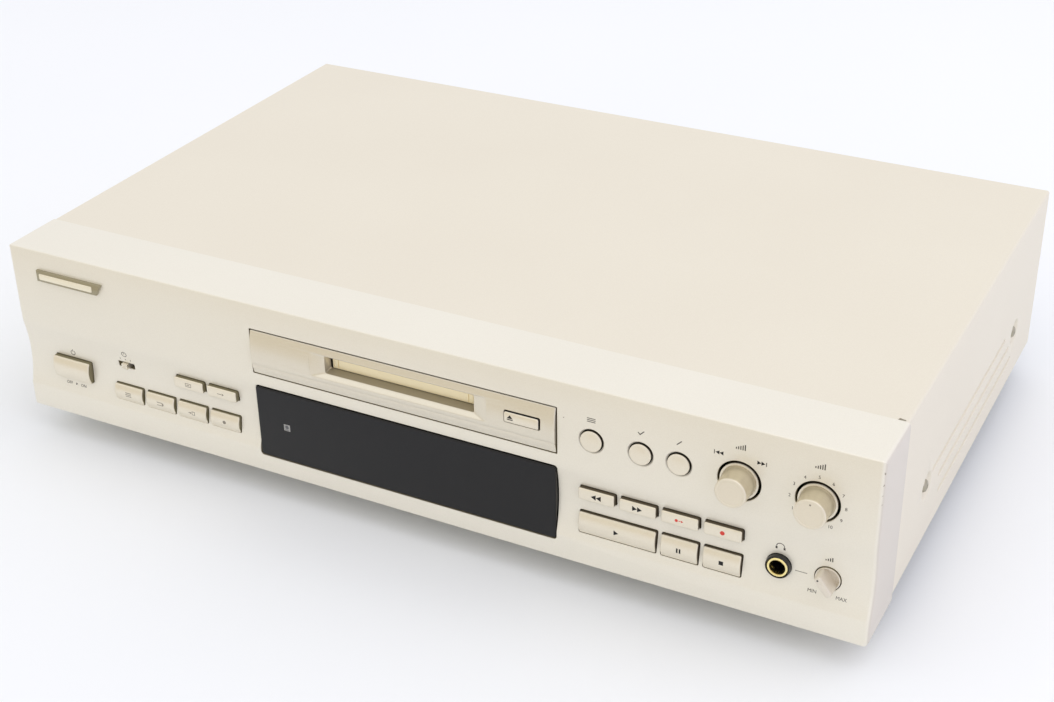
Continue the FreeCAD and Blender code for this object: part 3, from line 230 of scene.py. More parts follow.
def placed(name, data):
    """A new object in the scene."""
    thing = bpy.data.objects.new(name, data)
    bpy.context.scene.collection.objects.link(thing)
    return thing


def shaped(name, built):
    """A new object in the scene from a mesh that is built and now let go."""
    mesh = bpy.data.meshes.new(name)
    built.to_mesh(mesh)
    built.free()
    return placed(name, mesh)


def eased(node, width, material, slot):
    """A stamped or moulded piece with its sharp edges eased, in place of the plain one."""
    built = bmesh.new()
    built.from_mesh(frame["nodes"][node].data)
    bmesh.ops.remove_doubles(built, verts=built.verts, dist=1e-6)
    bmesh.ops.dissolve_limit(built, angle_limit=math.radians(0.3), verts=built.verts,
                             edges=built.edges)
    thing = shaped(f"{node}_eased", built)
    bevel = thing.modifiers.new("edges", "BEVEL")
    bevel.width = width * MM
    bevel.segments = 2
    bevel.limit_method = "ANGLE"
    bevel.angle_limit = math.radians(35)
    settled(thing)
    soften(thing.data)
    return fit(thing, material, body_of(node), slot, node)


zinc, place = finish("zinc_plate", metallic=1.0)
spangle = grains(place, 2.6)
haze = noise(place, 18)
vary(zinc,
     colour=mixed(spangle * 0.6 + haze * 0.4, tone(176, 177, 174), tone(208, 208, 203)),
     roughness=0.3 + 0.16 * spangle + 0.1 * haze,
     height=0.004 * noise(place, 0.5))

eased("bottom_chassis", 0.2, zinc, "zinc_steel")
eased("rear_panel", 0.15, zinc, "zinc_steel")


# ---------------------------------------------------------------- feet
# Four moulded plastic feet, ribbed round their sides, with a rubber pad pressed into each
# underside. They are screwed up into the pan near its corners.

def mesh_object(name, corners, faces):
    """A closed mesh from its corners, with neighbours merged and faces outwards."""
    built = bmesh.new()
    made = [built.verts.new(corner) for corner in corners]
    for face in faces:
        built.faces.new([made[index] for index in face])
    bmesh.ops.remove_doubles(built, verts=built.verts, dist=2e-7)
    bmesh.ops.dissolve_degenerate(built, edges=built.edges, dist=2e-7)
    bmesh.ops.recalc_face_normals(built, faces=built.faces)
    thing = shaped(name, built)
    soften(thing.data)
    return thing


def lofted(name, rings, looped=False):
    """A closed solid through rings of equal length, its ends faced over or led round to meet."""
    count = len(rings[0])
    rings = rings + [rings[0]] if looped else rings
    corners = [corner for ring in rings for corner in ring]
    last = len(corners) - count
    faces = [] if looped else [tuple(range(count)), tuple(range(last, len(corners)))]
    for row in range(len(rings) - 1):
        for index in range(count):
            after = (index + 1) % count
            faces.append((row * count + index, row * count + after,
                          (row + 1) * count + after, (row + 1) * count + index))
    return mesh_object(name, corners, faces)


def turned(name, centre, profile, along="y", steps=96, looped=False):
    """A solid turned about an axis through a place, from (radius, distance) points."""
    rings = []
    for radius, distance in profile:
        ring = []
        for step in range(steps):
            angle = 2 * math.pi * step / steps
            one, two = max(radius, 1e-5) * math.cos(angle), max(radius, 1e-5) * math.sin(angle)
            offset = {"y": (one, distance, two), "z": (one, two, distance)}[along]
            ring.append(at(*(Vector(centre) + Vector(offset))))
        rings.append(ring)
    return lofted(name, rings, looped)


def rounding(radius, start, end, centre_radius, centre_distance, steps=5):
    """Profile points round an arc, its angles in degrees from outwards towards +distance."""
    turns = [math.radians(start + (end - start) * step / steps) for step in range(steps + 1)]
    return [(centre_radius + radius * math.cos(turn), centre_distance + radius * math.sin(turn))
            for turn in turns]


def node_tree(name, inputs):
    """An empty Geometry Nodes tree with named inputs, each a socket type and a default."""
    tree = bpy.data.node_groups.new(name, "GeometryNodeTree")
    tree.interface.new_socket("Geometry", in_out="OUTPUT", socket_type="NodeSocketGeometry")
    tree.interface.new_socket("Geometry", in_out="INPUT", socket_type="NodeSocketGeometry")
    for label, (kind, default) in inputs.items():
        socket = tree.interface.new_socket(label, in_out="INPUT", socket_type=kind)
        if default is not None:
            socket.default_value = default
    return tree


def tree_node(tree, kind, settings=None, sockets=None):
    """Add a Geometry Nodes node with its settings, and its sockets' values or links."""
    made = tree.nodes.new(kind)
    for name, setting in (settings or {}).items():
        setattr(made, name, setting)
    for name, value in (sockets or {}).items():
        if isinstance(value, bpy.types.NodeSocket):
            tree.links.new(value, made.inputs[name])
        else:
            made.inputs[name].default_value = value
    return made


def ended(tree, geometry, material):
    """Close a tree: realize its instances, set the material and hand the mesh out."""
    real = tree_node(tree, "GeometryNodeRealizeInstances", None, {"Geometry": geometry})
    coated = tree_node(tree, "GeometryNodeSetMaterial", None,
                       {"Geometry": real.outputs[0], "Material": material})
    tree_node(tree, "NodeGroupOutput", None, {"Geometry": coated.outputs[0]})


def grown(name, tree, points, aims=None, **values):
    """The plain mesh that a tree makes from some points and named input values."""
    mesh = bpy.data.meshes.new(name)
    mesh.from_pydata(points, [], [])
    if aims:
        attribute = mesh.attributes.new("aim", "FLOAT_VECTOR", "POINT")
        attribute.data.foreach_set("vector", [number for aim in aims for number in aim])
    thing = placed(name, mesh)
    modifier = thing.modifiers.new(name, "NODES")
    modifier.node_group = tree
    for item in tree.interface.items_tree:
        word = item.name.lower().replace(" ", "_")
        if item.in_out == "INPUT" and word in values:
            modifier[item.identifier] = values[word]
    settled(thing)
    soften(thing.data)
    return thing


def blotched(name, blot, low, high, rough, bump=None, **constants):
    """A material in two tones of soft blots; rough is (least, more, blots), bump (height, blots)."""
    material, place = finish(name, **constants)
    looks = {"colour": mixed(noise(place, blot), tone(*low), tone(*high)),
             "roughness": rough[0] + rough[1] * noise(place, rough[2])}
    if bump:
        looks["height"] = bump[0] * noise(place, bump[1])
    vary(material, **looks)
    return material


FOOT_RADIUS = 27.0
FOOT_TOP_RADIUS = 25.0
RIB_COUNT = 48
PAD_RADIUS = 19.0

feet_low, feet_high = span("feet")
pads_low, pads_high = span("foot_pads")

foot_plastic = blotched("foot_plastic", 6, (32, 32, 33), (44, 43, 42), (0.5, 0.15, 3), (0.02, 0.35),
                        specular=0.4)
foot_rubber = blotched("foot_rubber", 9, (24, 24, 24), (46, 45, 43), (0.8, 0.1, 2), (0.03, 0.6),
                       specular=0.3)

foot_tree = node_tree("feet_with_ribs", {
    "Foot": ("NodeSocketObject", None), "Ribs": ("NodeSocketInt", RIB_COUNT),
    "Rib Radius": ("NodeSocketFloat", MM), "Rib Height": ("NodeSocketFloat", MM),
    "Rib Middle": ("NodeSocketFloat", MM), "Ring Radius": ("NodeSocketFloat", MM),
    "Plastic": ("NodeSocketMaterial", None)})
given = tree_node(foot_tree, "NodeGroupInput").outputs
foot_body = tree_node(foot_tree, "GeometryNodeObjectInfo", None, {"Object": given["Foot"]})
rib_ring = tree_node(foot_tree, "GeometryNodeMeshCircle", None,
                     {"Vertices": given["Ribs"], "Radius": given["Ring Radius"]})
rib = tree_node(foot_tree, "GeometryNodeMeshCylinder", None,
                {"Vertices": 8, "Radius": given["Rib Radius"], "Depth": given["Rib Height"]})
middle = tree_node(foot_tree, "ShaderNodeCombineXYZ", None, {"Z": given["Rib Middle"]})
raised = tree_node(foot_tree, "GeometryNodeSetPosition", None,
                   {"Geometry": rib_ring.outputs[0], "Offset": middle.outputs[0]})
ribs = tree_node(foot_tree, "GeometryNodeInstanceOnPoints", None,
                 {"Points": raised.outputs[0], "Instance": rib.outputs[0]})
whole_foot = tree_node(foot_tree, "GeometryNodeJoinGeometry")
foot_tree.links.new(foot_body.outputs["Geometry"], whole_foot.inputs[0])
foot_tree.links.new(ribs.outputs[0], whole_foot.inputs[0])
four_feet = tree_node(foot_tree, "GeometryNodeInstanceOnPoints", None,
                      {"Points": given["Geometry"], "Instance": whole_foot.outputs[0]})
ended(foot_tree, four_feet.outputs[0], given["Plastic"])

foot_x = feet_high.x - FOOT_RADIUS
foot_depths = (feet_low.y + FOOT_RADIUS, feet_high.y - FOOT_RADIUS)
foot_places = [(side * foot_x, depth) for side in (-1, 1) for depth in foot_depths]
foot_height = feet_high.z - feet_low.z
foot_profile = [(0, foot_height), (FOOT_TOP_RADIUS - 1.2, foot_height)]
foot_profile += rounding(1.0, 90, 0, FOOT_TOP_RADIUS - 1.3, foot_height - 1.0)
foot_profile += rounding(1.2, 0, -90, FOOT_RADIUS - 1.25, 1.2)
foot_profile += [(PAD_RADIUS + 0.4, 0.0), (PAD_RADIUS + 0.1, 0.3), (PAD_RADIUS + 0.1, 1.2),
                 (0, 1.2)]
foot_model = turned("foot_model", -ORIGIN / MM, foot_profile, along="z", steps=72)
feet = grown("ribbed_feet", foot_tree, [at(x, depth, feet_low.z) for x, depth in foot_places],
             foot=foot_model, ribs=RIB_COUNT, rib_radius=0.45 * MM,
             rib_height=(foot_height - 3.5) * MM, rib_middle=foot_height / 2 * MM,
             ring_radius=(FOOT_TOP_RADIUS + 0.9) * MM, plastic=foot_plastic)
bpy.data.objects.remove(foot_model)
fit(feet, foot_plastic, "case", "foot_plastic", "feet")

pad_profile = [(0, pads_high.z), (PAD_RADIUS, pads_high.z)]
pad_profile += rounding(0.5, 0, -90, PAD_RADIUS - 0.5, pads_low.z + 0.5)
pad_profile += [(PAD_RADIUS - 3.0, pads_low.z), (PAD_RADIUS - 3.2, pads_low.z + 0.4),
                (PAD_RADIUS - 3.8, pads_low.z + 0.4), (PAD_RADIUS - 4.0, pads_low.z),
                (0, pads_low.z)]
for index, (x, depth) in enumerate(foot_places):
    pad = turned(f"rubber_pad_{index + 1}", (x, depth, 0), pad_profile, along="z", steps=64)
    fit(pad, foot_rubber, "case", "foot_rubber", "foot_pads")


# ---------------------------------------------------------------- power supply and main board
# A laminated transformer in yellow tape, an extruded sink and a glass-fibre board with its
# chips and capacitors stand on the pan. They are screwed or soldered in place.

core_iron, place = finish("varnished_iron", metallic=0.7)
sheets = place.node("ShaderNodeTexWave", {"bands_direction": "Y"},
                    {"Vector": place, "Scale": 160.0, "Distortion": 0.4, "Detail": 1.0})
vary(core_iron,
     colour=mixed(sheets, tone(62, 58, 54), tone(104, 100, 95)),
     roughness=0.4 + 0.2 * noise(place, 5),
     height=0.05 * sheets)
coil_tape, place = finish("coil_tape", specular=0.45)
laps = place.node("ShaderNodeTexWave", {"bands_direction": "Z"},
                  {"Vector": place, "Scale": 22.0, "Distortion": 1.2, "Detail": 2.0})
vary(coil_tape,
     colour=mixed(laps * 0.5 + noise(place, 6) * 0.5, tone(196, 150, 42), tone(226, 190, 84)),
     roughness=0.35 + 0.2 * laps,
     height=0.08 * laps)
sink_metal, place = finish("extruded_aluminium", metallic=1.0)
drawn = noise(place, 0.4, 2, (1, 1, 40))
vary(sink_metal,
     colour=mixed(drawn, tone(176, 178, 180), tone(214, 214, 214)),
     roughness=0.32 + 0.15 * drawn,
     height=0.01 * drawn)

board_green, place = finish("board_green", specular=0.5)
weave = place.node("ShaderNodeTexBrick", {"offset": 0.5},
                   {"Vector": place, "Scale": 150.0, "Color1": (0, 0, 0), "Color2": (0.2, 0.2, 0.2),
                    "Mortar": (1, 1, 1), "Mortar Size": 0.03})
track = weave.node("ShaderNodeSeparateColor", None, {0: weave})
patch = ramp(noise(place, 16), 0.5, 0.56)
islands = place.node("ShaderNodeTexVoronoi", None, {"Vector": place, "Scale": 260.0})
pads_seen = 1 - ramp(islands, 0.2, 0.24)
lacquer = mixed(track * 0.7 + patch * 0.25, tone(22, 66, 38), tone(58, 118, 72))
vary(board_green,
     colour=mixed(pads_seen * patch, lacquer, tone(196, 186, 150)),
     roughness=0.38 + 0.2 * track,
     height=0.03 * track + 0.03 * patch)
chip_resin = blotched("chip_resin", 1.0, (26, 26, 27), (44, 43, 42), (0.55, 0.15, 0.3), (0.01, 0.2),
                      specular=0.4)
sleeve, place = finish("capacitor_sleeve", specular=0.5)
board_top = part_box("main_board")[1].z
sleeve_print = place.node("ShaderNodeTexNoise", None, {"Vector": place, "Scale": 70.0})
vary(sleeve,
     colour=mixed(ramp(sleeve_print, 0.55, 0.57), tone(28, 34, 62), tone(150, 154, 166)),
     roughness=0.3 + 0.2 * ramp(place.axis("Z"), board_top, board_top + 0.02))

eased("transformer_core", 0.5, core_iron, "core_iron")
eased("transformer_coil", 0.8, coil_tape, "coil_tape")
eased("heat_sink", 0.3, sink_metal, "sink_aluminium")
eased("main_board", 0.15, board_green, "circuit_board")
eased("board_chips", 0.25, chip_resin, "chip_resin")
eased("capacitors", 0.5, sleeve, "capacitor_sleeve")


# ---------------------------------------------------------------- rear sockets
# Turned, plated phono jacks with a coloured insulator sunk in each mouth, optical sockets
# with a shuttered mouth and a two-pin mains inlet, all fixed from inside the rear panel.

RCA_PLACES = [(165, 52), (165, 32), (138, 52), (138, 32), (102, 32)]
RCA_RADIUS = 4.15
RCA_NECK = 3.4
RCA_FLANGE_RADIUS = 5.5
RCA_FLANGE = 3.6
RCA_BORE = 1.6
RCA_BORE_DEPTH = 9.0
RCA_SUNK = 0.9
INLET_PIN_UP = 30.0
INLET_PINS = (-154.3, -145.7)
INLET_PIN_RADIUS = 1.2

chassis_end = span("bottom_chassis")[1].y
rear_face = span("ac_inlet")[1].y - 1.3

plated = blotched("plated_brass", 3, (206, 184, 128), (228, 212, 166), (0.2, 0.14, 0.8), (0.003, 0.3),
                  metallic=1.0)

piece_tree = node_tree("like_pieces", {
    "Piece": ("NodeSocketObject", None), "Finish": ("NodeSocketMaterial", None),
    "Roll": ("NodeSocketFloat", 0.0), "Seed": ("NodeSocketInt", 7)})
given = tree_node(piece_tree, "NodeGroupInput").outputs
like_piece = tree_node(piece_tree, "GeometryNodeObjectInfo", None, {"Object": given["Piece"]})
aim = tree_node(piece_tree, "GeometryNodeInputNamedAttribute", {"data_type": "FLOAT_VECTOR"},
                {"Name": "aim"})
facing = tree_node(piece_tree, "FunctionNodeAlignRotationToVector", {"axis": "Z"},
                   {"Vector": aim.outputs[0]})
chance = tree_node(piece_tree, "FunctionNodeRandomValue", {"data_type": "FLOAT"},
                   {2: 0.0, 3: given["Roll"], "Seed": given["Seed"]})
roll = tree_node(piece_tree, "FunctionNodeAxisAngleToRotation", None,
                 {"Axis": (0, 0, 1), "Angle": chance.outputs[1]})
rolled = tree_node(piece_tree, "FunctionNodeRotateRotation", {"rotation_space": "LOCAL"},
                   {0: facing.outputs[0], 1: roll.outputs[0]})
set_out = tree_node(piece_tree, "GeometryNodeInstanceOnPoints", None,
                    {"Points": given["Geometry"], "Instance": like_piece.outputs["Geometry"],
                     "Rotation": rolled.outputs[0]})
ended(piece_tree, set_out.outputs[0], given["Finish"])

inner = rear_face - chassis_end
mouth = span("rca_jacks")[1].y - chassis_end
shell_profile = [(0, -RCA_FLANGE), (RCA_FLANGE_RADIUS - 0.3, -RCA_FLANGE),
                 (RCA_FLANGE_RADIUS, -RCA_FLANGE + 0.3), (RCA_FLANGE_RADIUS, 0), (RCA_NECK, 0),
                 (RCA_NECK, inner), (RCA_RADIUS - 0.2, inner), (RCA_RADIUS, inner + 0.2)]
sunk = mouth - RCA_SUNK
shell_profile += [(RCA_RADIUS, mouth - 0.35), (RCA_RADIUS - 0.12, mouth - 0.1),
                  (RCA_RADIUS - 0.35, mouth), (RCA_RADIUS - 0.6, mouth - 0.15),
                  (RCA_RADIUS - 0.65, sunk - 0.1), (RCA_BORE, sunk - 0.1),
                  (RCA_BORE, mouth - RCA_BORE_DEPTH), (0, mouth - RCA_BORE_DEPTH)]
shell = turned("jack_shell_model", -ORIGIN / MM, shell_profile, along="z", steps=48)
ring_profile = [(RCA_BORE + 0.02, sunk - 0.1), (RCA_BORE + 0.02, sunk + 0.35),
                (RCA_BORE + 0.25, sunk + 0.5), (RCA_RADIUS - 1.0, sunk + 0.5),
                (RCA_RADIUS - 0.66, sunk + 0.2), (RCA_RADIUS - 0.66, sunk - 0.1)]
insulator = turned("jack_insulator_model", -ORIGIN / MM, ring_profile, along="z", steps=40,
                   looped=True)
BACKWARDS = (0.0, 1.0, 0.0)
jacks = grown("plated_phono_jacks", piece_tree, [at(x, chassis_end, up) for x, up in RCA_PLACES],
              [BACKWARDS] * len(RCA_PLACES), piece=shell, finish=plated)
fit(jacks, plated, "case", "plated_brass", "rca_jacks")
for word, places, low, high in (
        ("white", [(165, 52), (138, 52)], (214, 213, 208), (228, 227, 222)),
        ("red", [(165, 32), (138, 32)], (150, 26, 24), (176, 40, 34)),
        ("orange", [(102, 32)], (196, 96, 26), (214, 118, 40))):
    collar = blotched(f"{word}_insulator", 1.4, low, high, (0.34, 0.12, 0.6), specular=0.5)
    rings = grown(f"{word}_jack_insulators", piece_tree,
                  [at(x, chassis_end, up) for x, up in places], [BACKWARDS] * len(places),
                  piece=insulator, finish=collar)
    fit(rings, collar, "case", "white_plastic")
bpy.data.objects.remove(shell)
bpy.data.objects.remove(insulator)


def beside(place, x, up):
    """Distance from an axis that runs straight back."""
    upright = place.node("ShaderNodeVectorMath", {"operation": "MULTIPLY"},
                         {0: place, 1: (1.0, 0.0, 1.0)})
    return upright.away(at(x, 0, up) * Vector((1, 0, 1)))


rear_black, place = finish("rear_socket_plastic", specular=0.45)
left_pin, right_pin = (1 - ramp(beside(place, x, INLET_PIN_UP), (INLET_PIN_RADIUS + 0.05) * MM,
                                (INLET_PIN_RADIUS + 0.1) * MM) for x in INLET_PINS)
pin_mask = left_pin + right_pin
vary(rear_black,
     colour=mixed(pin_mask, mixed(noise(place, 3), tone(26, 26, 27), tone(42, 42, 42)),
                  tone(214, 212, 206)),
     roughness=0.42 + 0.16 * noise(place, 1.0) - 0.2 * pin_mask,
     metallic=pin_mask,
     height=0.01 * noise(place, 0.4))
eased("optical_sockets", 0.4, rear_black, "black_plastic")
eased("ac_inlet", 0.35, rear_black, "black_plastic")


# ---------------------------------------------------------------- disc mechanism
# A plated frame on legs carries the cartridge holder, spindle motor, pickup sled, lead screw
# and head arm; white acetal gears and arms run on ground steel pins and rods.

ground_steel, place = finish("ground_steel", metallic=1.0)
scored = noise(place, 0.25, 2, (1, 12, 1))
vary(ground_steel,
     colour=mixed(scored, tone(196, 197, 199), tone(226, 226, 228)),
     roughness=0.14 + 0.12 * scored)
motor_can = blotched("plated_can", 7, (170, 171, 170), (202, 202, 200), (0.25, 0.15, 2), (0.004, 0.6),
                     metallic=1.0)
acetal = blotched("white_acetal", 8, (214, 212, 204), (232, 231, 226), (0.38, 0.12, 2), (0.006, 0.5),
                  specular=0.45)

eased("mechanism_frame", 0.2, zinc, "zinc_steel")
eased("cartridge_holder", 0.15, zinc, "zinc_steel")
eased("spindle_motor", 0.4, motor_can, "motor_steel")
eased("drive_motors", 0.5, motor_can, "motor_steel")
eased("guide_rods", 0.25, ground_steel, "polished_steel")
eased("lead_screw", 0.15, ground_steel, "polished_steel")
eased("turntable", 0.2, acetal, "white_plastic")
eased("loading_gear", 0.15, acetal, "white_plastic")
eased("optical_pickup", 0.4, acetal, "white_plastic")
eased("head_arm", 0.15, acetal, "white_plastic")


# ---------------------------------------------------------------- front board and its parts
# The board behind the panel carries the tact switches, the display tube, the timer switch,
# the encoder and the level pots. Black moulded switches are soldered to it.

moulded_black = blotched("moulded_black", 4, (24, 24, 26), (40, 40, 41), (0.42, 0.16, 1.2),
                         (0.008, 0.3), specular=0.45)
tube_glass, place = finish("tube_glass", coat=0.6, coat_roughness=0.04)
anodes = place.node("ShaderNodeTexBrick", {"offset": 0.0},
                    {"Vector": place, "Scale": 90.0, "Color1": (0, 0, 0), "Color2": (0, 0, 0),
                     "Mortar": (1, 1, 1), "Mortar Size": 0.02})
grid_lines = anodes.node("ShaderNodeSeparateColor", None, {0: anodes})
vary(tube_glass,
     colour=mixed(grid_lines, tone(46, 54, 52), tone(84, 94, 88)),
     roughness=0.08 + 0.2 * grid_lines)

eased("front_board", 0.15, board_green, "circuit_board")
eased("tact_switches", 0.3, moulded_black, "black_plastic")
eased("display_tube", 0.5, tube_glass, "tube_glass")
eased("timer_switch", 0.3, moulded_black, "black_plastic")
eased("jog_encoder", 0.4, moulded_black, "black_plastic")
eased("level_pots", 0.4, moulded_black, "black_plastic")
eased("jog_shaft", 0.3, ground_steel, "polished_steel")


# ---------------------------------------------------------------- front panel
# One moulded shell, 3 mm thick, wraps the front: a flat upper face, a hollow lower face above
# a straight band, and flanges back to the cover's seam. Sprayed satin champagne, with flake.

RECESS_START = (-BAND_PROUD, 10.0)
RECESS_END = (0.6, 41.0)
RECESS_RADIUS = 62.0
SHOULDER_END = (0.0, 47.0)
SHOULDER_RADIUS = 30.0
PANEL_WALL = 3.0
TOP_EDGE_RADIUS = 0.7
END_RADIUS = 2.1
HOLE_START = -3.0
HOLE_END = 8.0
# Depth behind a lip over which the painted shade comes in.
SHADE_FADE = 0.3

face_low, face_high = span("front_panel")
PANEL_HALF = face_high.x
PANEL_LOW = face_low.z
PANEL_HEIGHT = face_high.z
SEAM_DEPTH = face_high.y


def arc_depth(start, end, radius, side):
    """Depth at a height on an arc between (depth, up) points: side 1 sinks in, -1 swells out."""
    rise_depth, rise_up = end[0] - start[0], end[1] - start[1]
    chord = math.hypot(rise_depth, rise_up)
    out = side * math.sqrt(radius ** 2 - chord ** 2 / 4)
    centre_depth = (start[0] + end[0]) / 2 - out * rise_up / chord
    centre_up = (start[1] + end[1]) / 2 + out * rise_depth / chord
    return lambda up: centre_depth + side * math.sqrt(radius ** 2 - (up - centre_up) ** 2)


recess = arc_depth(RECESS_START, RECESS_END, RECESS_RADIUS, 1)
shoulder = arc_depth(RECESS_END, SHOULDER_END, SHOULDER_RADIUS, -1)


def panel_face(x, up):
    """Depth of the panel's face at a height."""
    if up <= RECESS_START[1]:
        return RECESS_START[0]
    if up <= RECESS_END[1]:
        return recess(up)
    if up <= SHOULDER_END[1]:
        return shoulder(up)
    return 0.0


def quarter(steps):
    """Stations round a quarter turn, each (1 - sine, 1 - cosine) of its angle."""
    turns = [math.radians(90 * step / steps) for step in range(steps + 1)]
    return [(1 - math.sin(turn), 1 - math.cos(turn)) for turn in turns]


def panel_section(inset):
    """The panel's outline as (depth, up), moved in by an inset from the face, top and bottom."""
    ups = [RECESS_START[1] + 0.8 * step for step in range(39)]
    ups += [41.5 + 0.75 * step for step in range(8)]
    face = [(panel_face(0, up) + inset, up) for up in ups]
    low, high = PANEL_LOW + inset, PANEL_HEIGHT - inset
    edge = max(TOP_EDGE_RADIUS - inset, 0.2)
    under = [(RECESS_START[0] + inset + edge * fall, low + edge * rise) for fall, rise in quarter(5)]
    over = [(inset + edge * rise, high - edge * fall) for fall, rise in quarter(5)]
    return [(SEAM_DEPTH, low)] + under + face + over + [(SEAM_DEPTH, high)]


def panel_ring(x, inset, rear=None):
    """The outline at one place across, its rear edge moved where a rear is given."""
    section = panel_section(inset)
    if rear is not None:
        section[0] = (rear, section[0][1])
        section[-1] = (rear, section[-1][1])
    return [at(x, depth, up) for depth, up in section]


ends = [(END_RADIUS * fall, END_RADIUS * rise) for fall, rise in quarter(6)]
left_rings = [panel_ring(-PANEL_HALF + across, inset) for inset, across in ends]
right_rings = [panel_ring(PANEL_HALF - across, inset) for inset, across in reversed(ends)]
panel = lofted("wrapped_front_panel", left_rings + right_rings)
hollow_half = PANEL_HALF - PANEL_WALL
hollow = lofted("panel_hollow", [panel_ring(side * hollow_half, PANEL_WALL, SEAM_DEPTH + 2)
                                 for side in (-1, 1)])


def rounded_outline(width, height, radius, steps=5):
    """Points (x, up) round a rectangle with rounded corners, about its middle."""
    radius = max(min(radius, width / 2 - 0.01, height / 2 - 0.01), 0.01)
    points = []
    for corner, (side_x, side_up) in enumerate(((1, 1), (-1, 1), (-1, -1), (1, -1))):
        for step in range(steps + 1):
            turn = math.radians(90 * (corner + step / steps))
            points.append((side_x * (width / 2 - radius) + radius * math.cos(turn),
                           side_up * (height / 2 - radius) + radius * math.sin(turn)))
    return points


def opening(name, x, up, width, height, radius, surface, lip, end=HOLE_END, steps=5, chamfer=False):
    """A cutter for a moulded opening whose lip is rounded or chamfered and follows the face."""
    rings = []
    if chamfer:
        levels = [(lip + 0.4, HOLE_START), (lip + 0.3, -0.3), (0.0, lip)]
    else:
        levels = [(lip * 1.9, HOLE_START)]
        levels += [(lip * (1 - math.sin(turn)), lip * (1 - math.cos(turn)))
                   for turn in (math.radians(angle) for angle in (22, 45, 67, 90))]
    levels += [(0.0, lip + SHADE_FADE), (0.0, end)]
    for outset, sunk in levels:
        outline = rounded_outline(width + 2 * outset, height + 2 * outset, radius + outset, steps)
        flat = sunk in (HOLE_START, end)
        rings.append([at(x + dx, sunk if flat else surface(x, up + dz) + sunk, up + dz)
                      for dx, dz in outline])
    return lofted(name, rings)


def middle_of(node):
    """A node's middle across and up, and its width and height."""
    low, high = span(node)
    return (low.x + high.x) / 2, (low.z + high.z) / 2, high.x - low.x, high.z - low.z


def combined(solid, others, operation):
    """Work closed solids into another and drop them."""
    for other in others:
        step = solid.modifiers.new(other.name, "BOOLEAN")
        step.operation = operation
        step.solver = "MANIFOLD"
        step.object = other
    settled(solid)
    for other in others:
        bpy.data.objects.remove(other)
    soften(solid.data)
    return solid


def carved(solid, cutters):
    """Cut closed solids out of another."""
    return combined(solid, cutters, "DIFFERENCE")


KEY_NODES = ["rewind_key", "forward_key", "record_sync_key", "record_key", "play_key", "pause_key",
             "stop_key", "display_key", "scroll_key", "play_mode_key", "repeat_key", "input_key",
             "time_key", "power_button"]
ROUND_NODES = ["menu_button", "yes_button", "clear_button"]
KEY_GAP = 0.3
KEY_SNUG = 0.1
KEY_ROOM = 0.45
KEY_CORNER = 0.8
ROUND_HOLE_RADIUS = 5.2
KNOB_HOLE_RADIUS = 9.1
PHONES_HOLE_RADIUS = 5.5
JACK_RADIUS = 5.15
BEZEL_GAP = 0.62
WINDOW_GAP = 0.4
BEZEL_RIM = 2.5
WINDOW_RIM = 2.0
TIMER_SLOT = (9.4, 3.0)

cutters = [hollow]
for node in KEY_NODES:
    x, up, width, height = middle_of(node)
    snug = KEY_GAP if node in ("play_key", "pause_key", "stop_key") else KEY_SNUG
    shift, growth = (KEY_ROOM - snug) / 2, KEY_ROOM + snug
    cutters.append(opening(f"{node}_opening", x + shift, up + shift, width + growth, height + growth,
                           KEY_CORNER, panel_face, lip=0.2))
for nodes, radius, lip in ((ROUND_NODES, ROUND_HOLE_RADIUS, 0.6),
                           (["jog_knob", "rec_level_knob"], KNOB_HOLE_RADIUS, 0.3),
                           (["phones_level_knob"], PHONES_HOLE_RADIUS, 0.3),
                           (["jack_ring"], JACK_RADIUS + 0.1, 0.3)):
    for node in nodes:
        x, up = middle_of(node)[:2]
        cutters.append(opening(f"{node}_opening", x, up, 2 * radius, 2 * radius, radius, panel_face,
                               lip, steps=14, chamfer=nodes is ROUND_NODES))
slider_x, slider_up = middle_of("timer_slider")[:2]
cutters.append(opening("timer_opening", slider_x, slider_up, *TIMER_SLOT, 0.25, panel_face, lip=0.3))
bezel_x, bezel_up, bezel_width, bezel_height = middle_of("disc_bezel")
cutters.append(opening("bezel_opening", bezel_x, bezel_up,
                       bezel_width - 2 * BEZEL_RIM + 2 * BEZEL_GAP,
                       bezel_height - 2 * BEZEL_RIM + 2 * BEZEL_GAP, 0.5, panel_face, lip=0.12))
window_x, window_up, window_width, window_height = middle_of("display_window")
cutters.append(opening("window_opening", window_x, window_up,
                       window_width - 2 * WINDOW_RIM + 2 * WINDOW_GAP,
                       window_height - 2 * WINDOW_RIM + 2 * WINDOW_GAP, 1.6, panel_face, lip=0.2))
carved(panel, cutters)


def unpainted(thing, test):
    """Note on each corner how much painted shade it takes, from its place: a dark tone that stands for
    the shade inside the gaps.
    """
    mask = thing.data.attributes.new("bare", "FLOAT", "POINT")
    for index, corner in enumerate(thing.data.vertices):
        mask.data[index].value = test(*((corner.co - ORIGIN) / MM))


round_left = middle_of(ROUND_NODES[0])[0] - 7
round_right = middle_of(ROUND_NODES[-1])[0] + 7


def panel_missed(x, depth, up):
    """Whether a corner of the panel takes painted shade: behind the lip of an opening, in the gap."""
    lip = 0.75 if up > 50 and round_left < x < round_right else 0.4
    return float(depth - panel_face(x, up) > lip and abs(x) < PANEL_HALF - 2.9
                 and PANEL_LOW + 2.9 < up < PANEL_HEIGHT - 2.9)


# Painted shade: the panel's opening walls behind the lips take a dark tone, for the shade in the gaps
# round keys, knobs, bezel and window.
unpainted(panel, panel_missed)

CHIPS = [(PANEL_HALF - 0.2, 0.6, up, size)
         for up, size in ((79.0, 0.9), (73.7, 0.7), (69.0, 0.6), (65.0, 0.6))]
CHIPS += [(-75.4, 0.0, 71.6, 0.4), (78.6, 0.0, 68.0, 0.35), (-PANEL_HALF + 0.3, 0.6, 12.0, 0.5)]


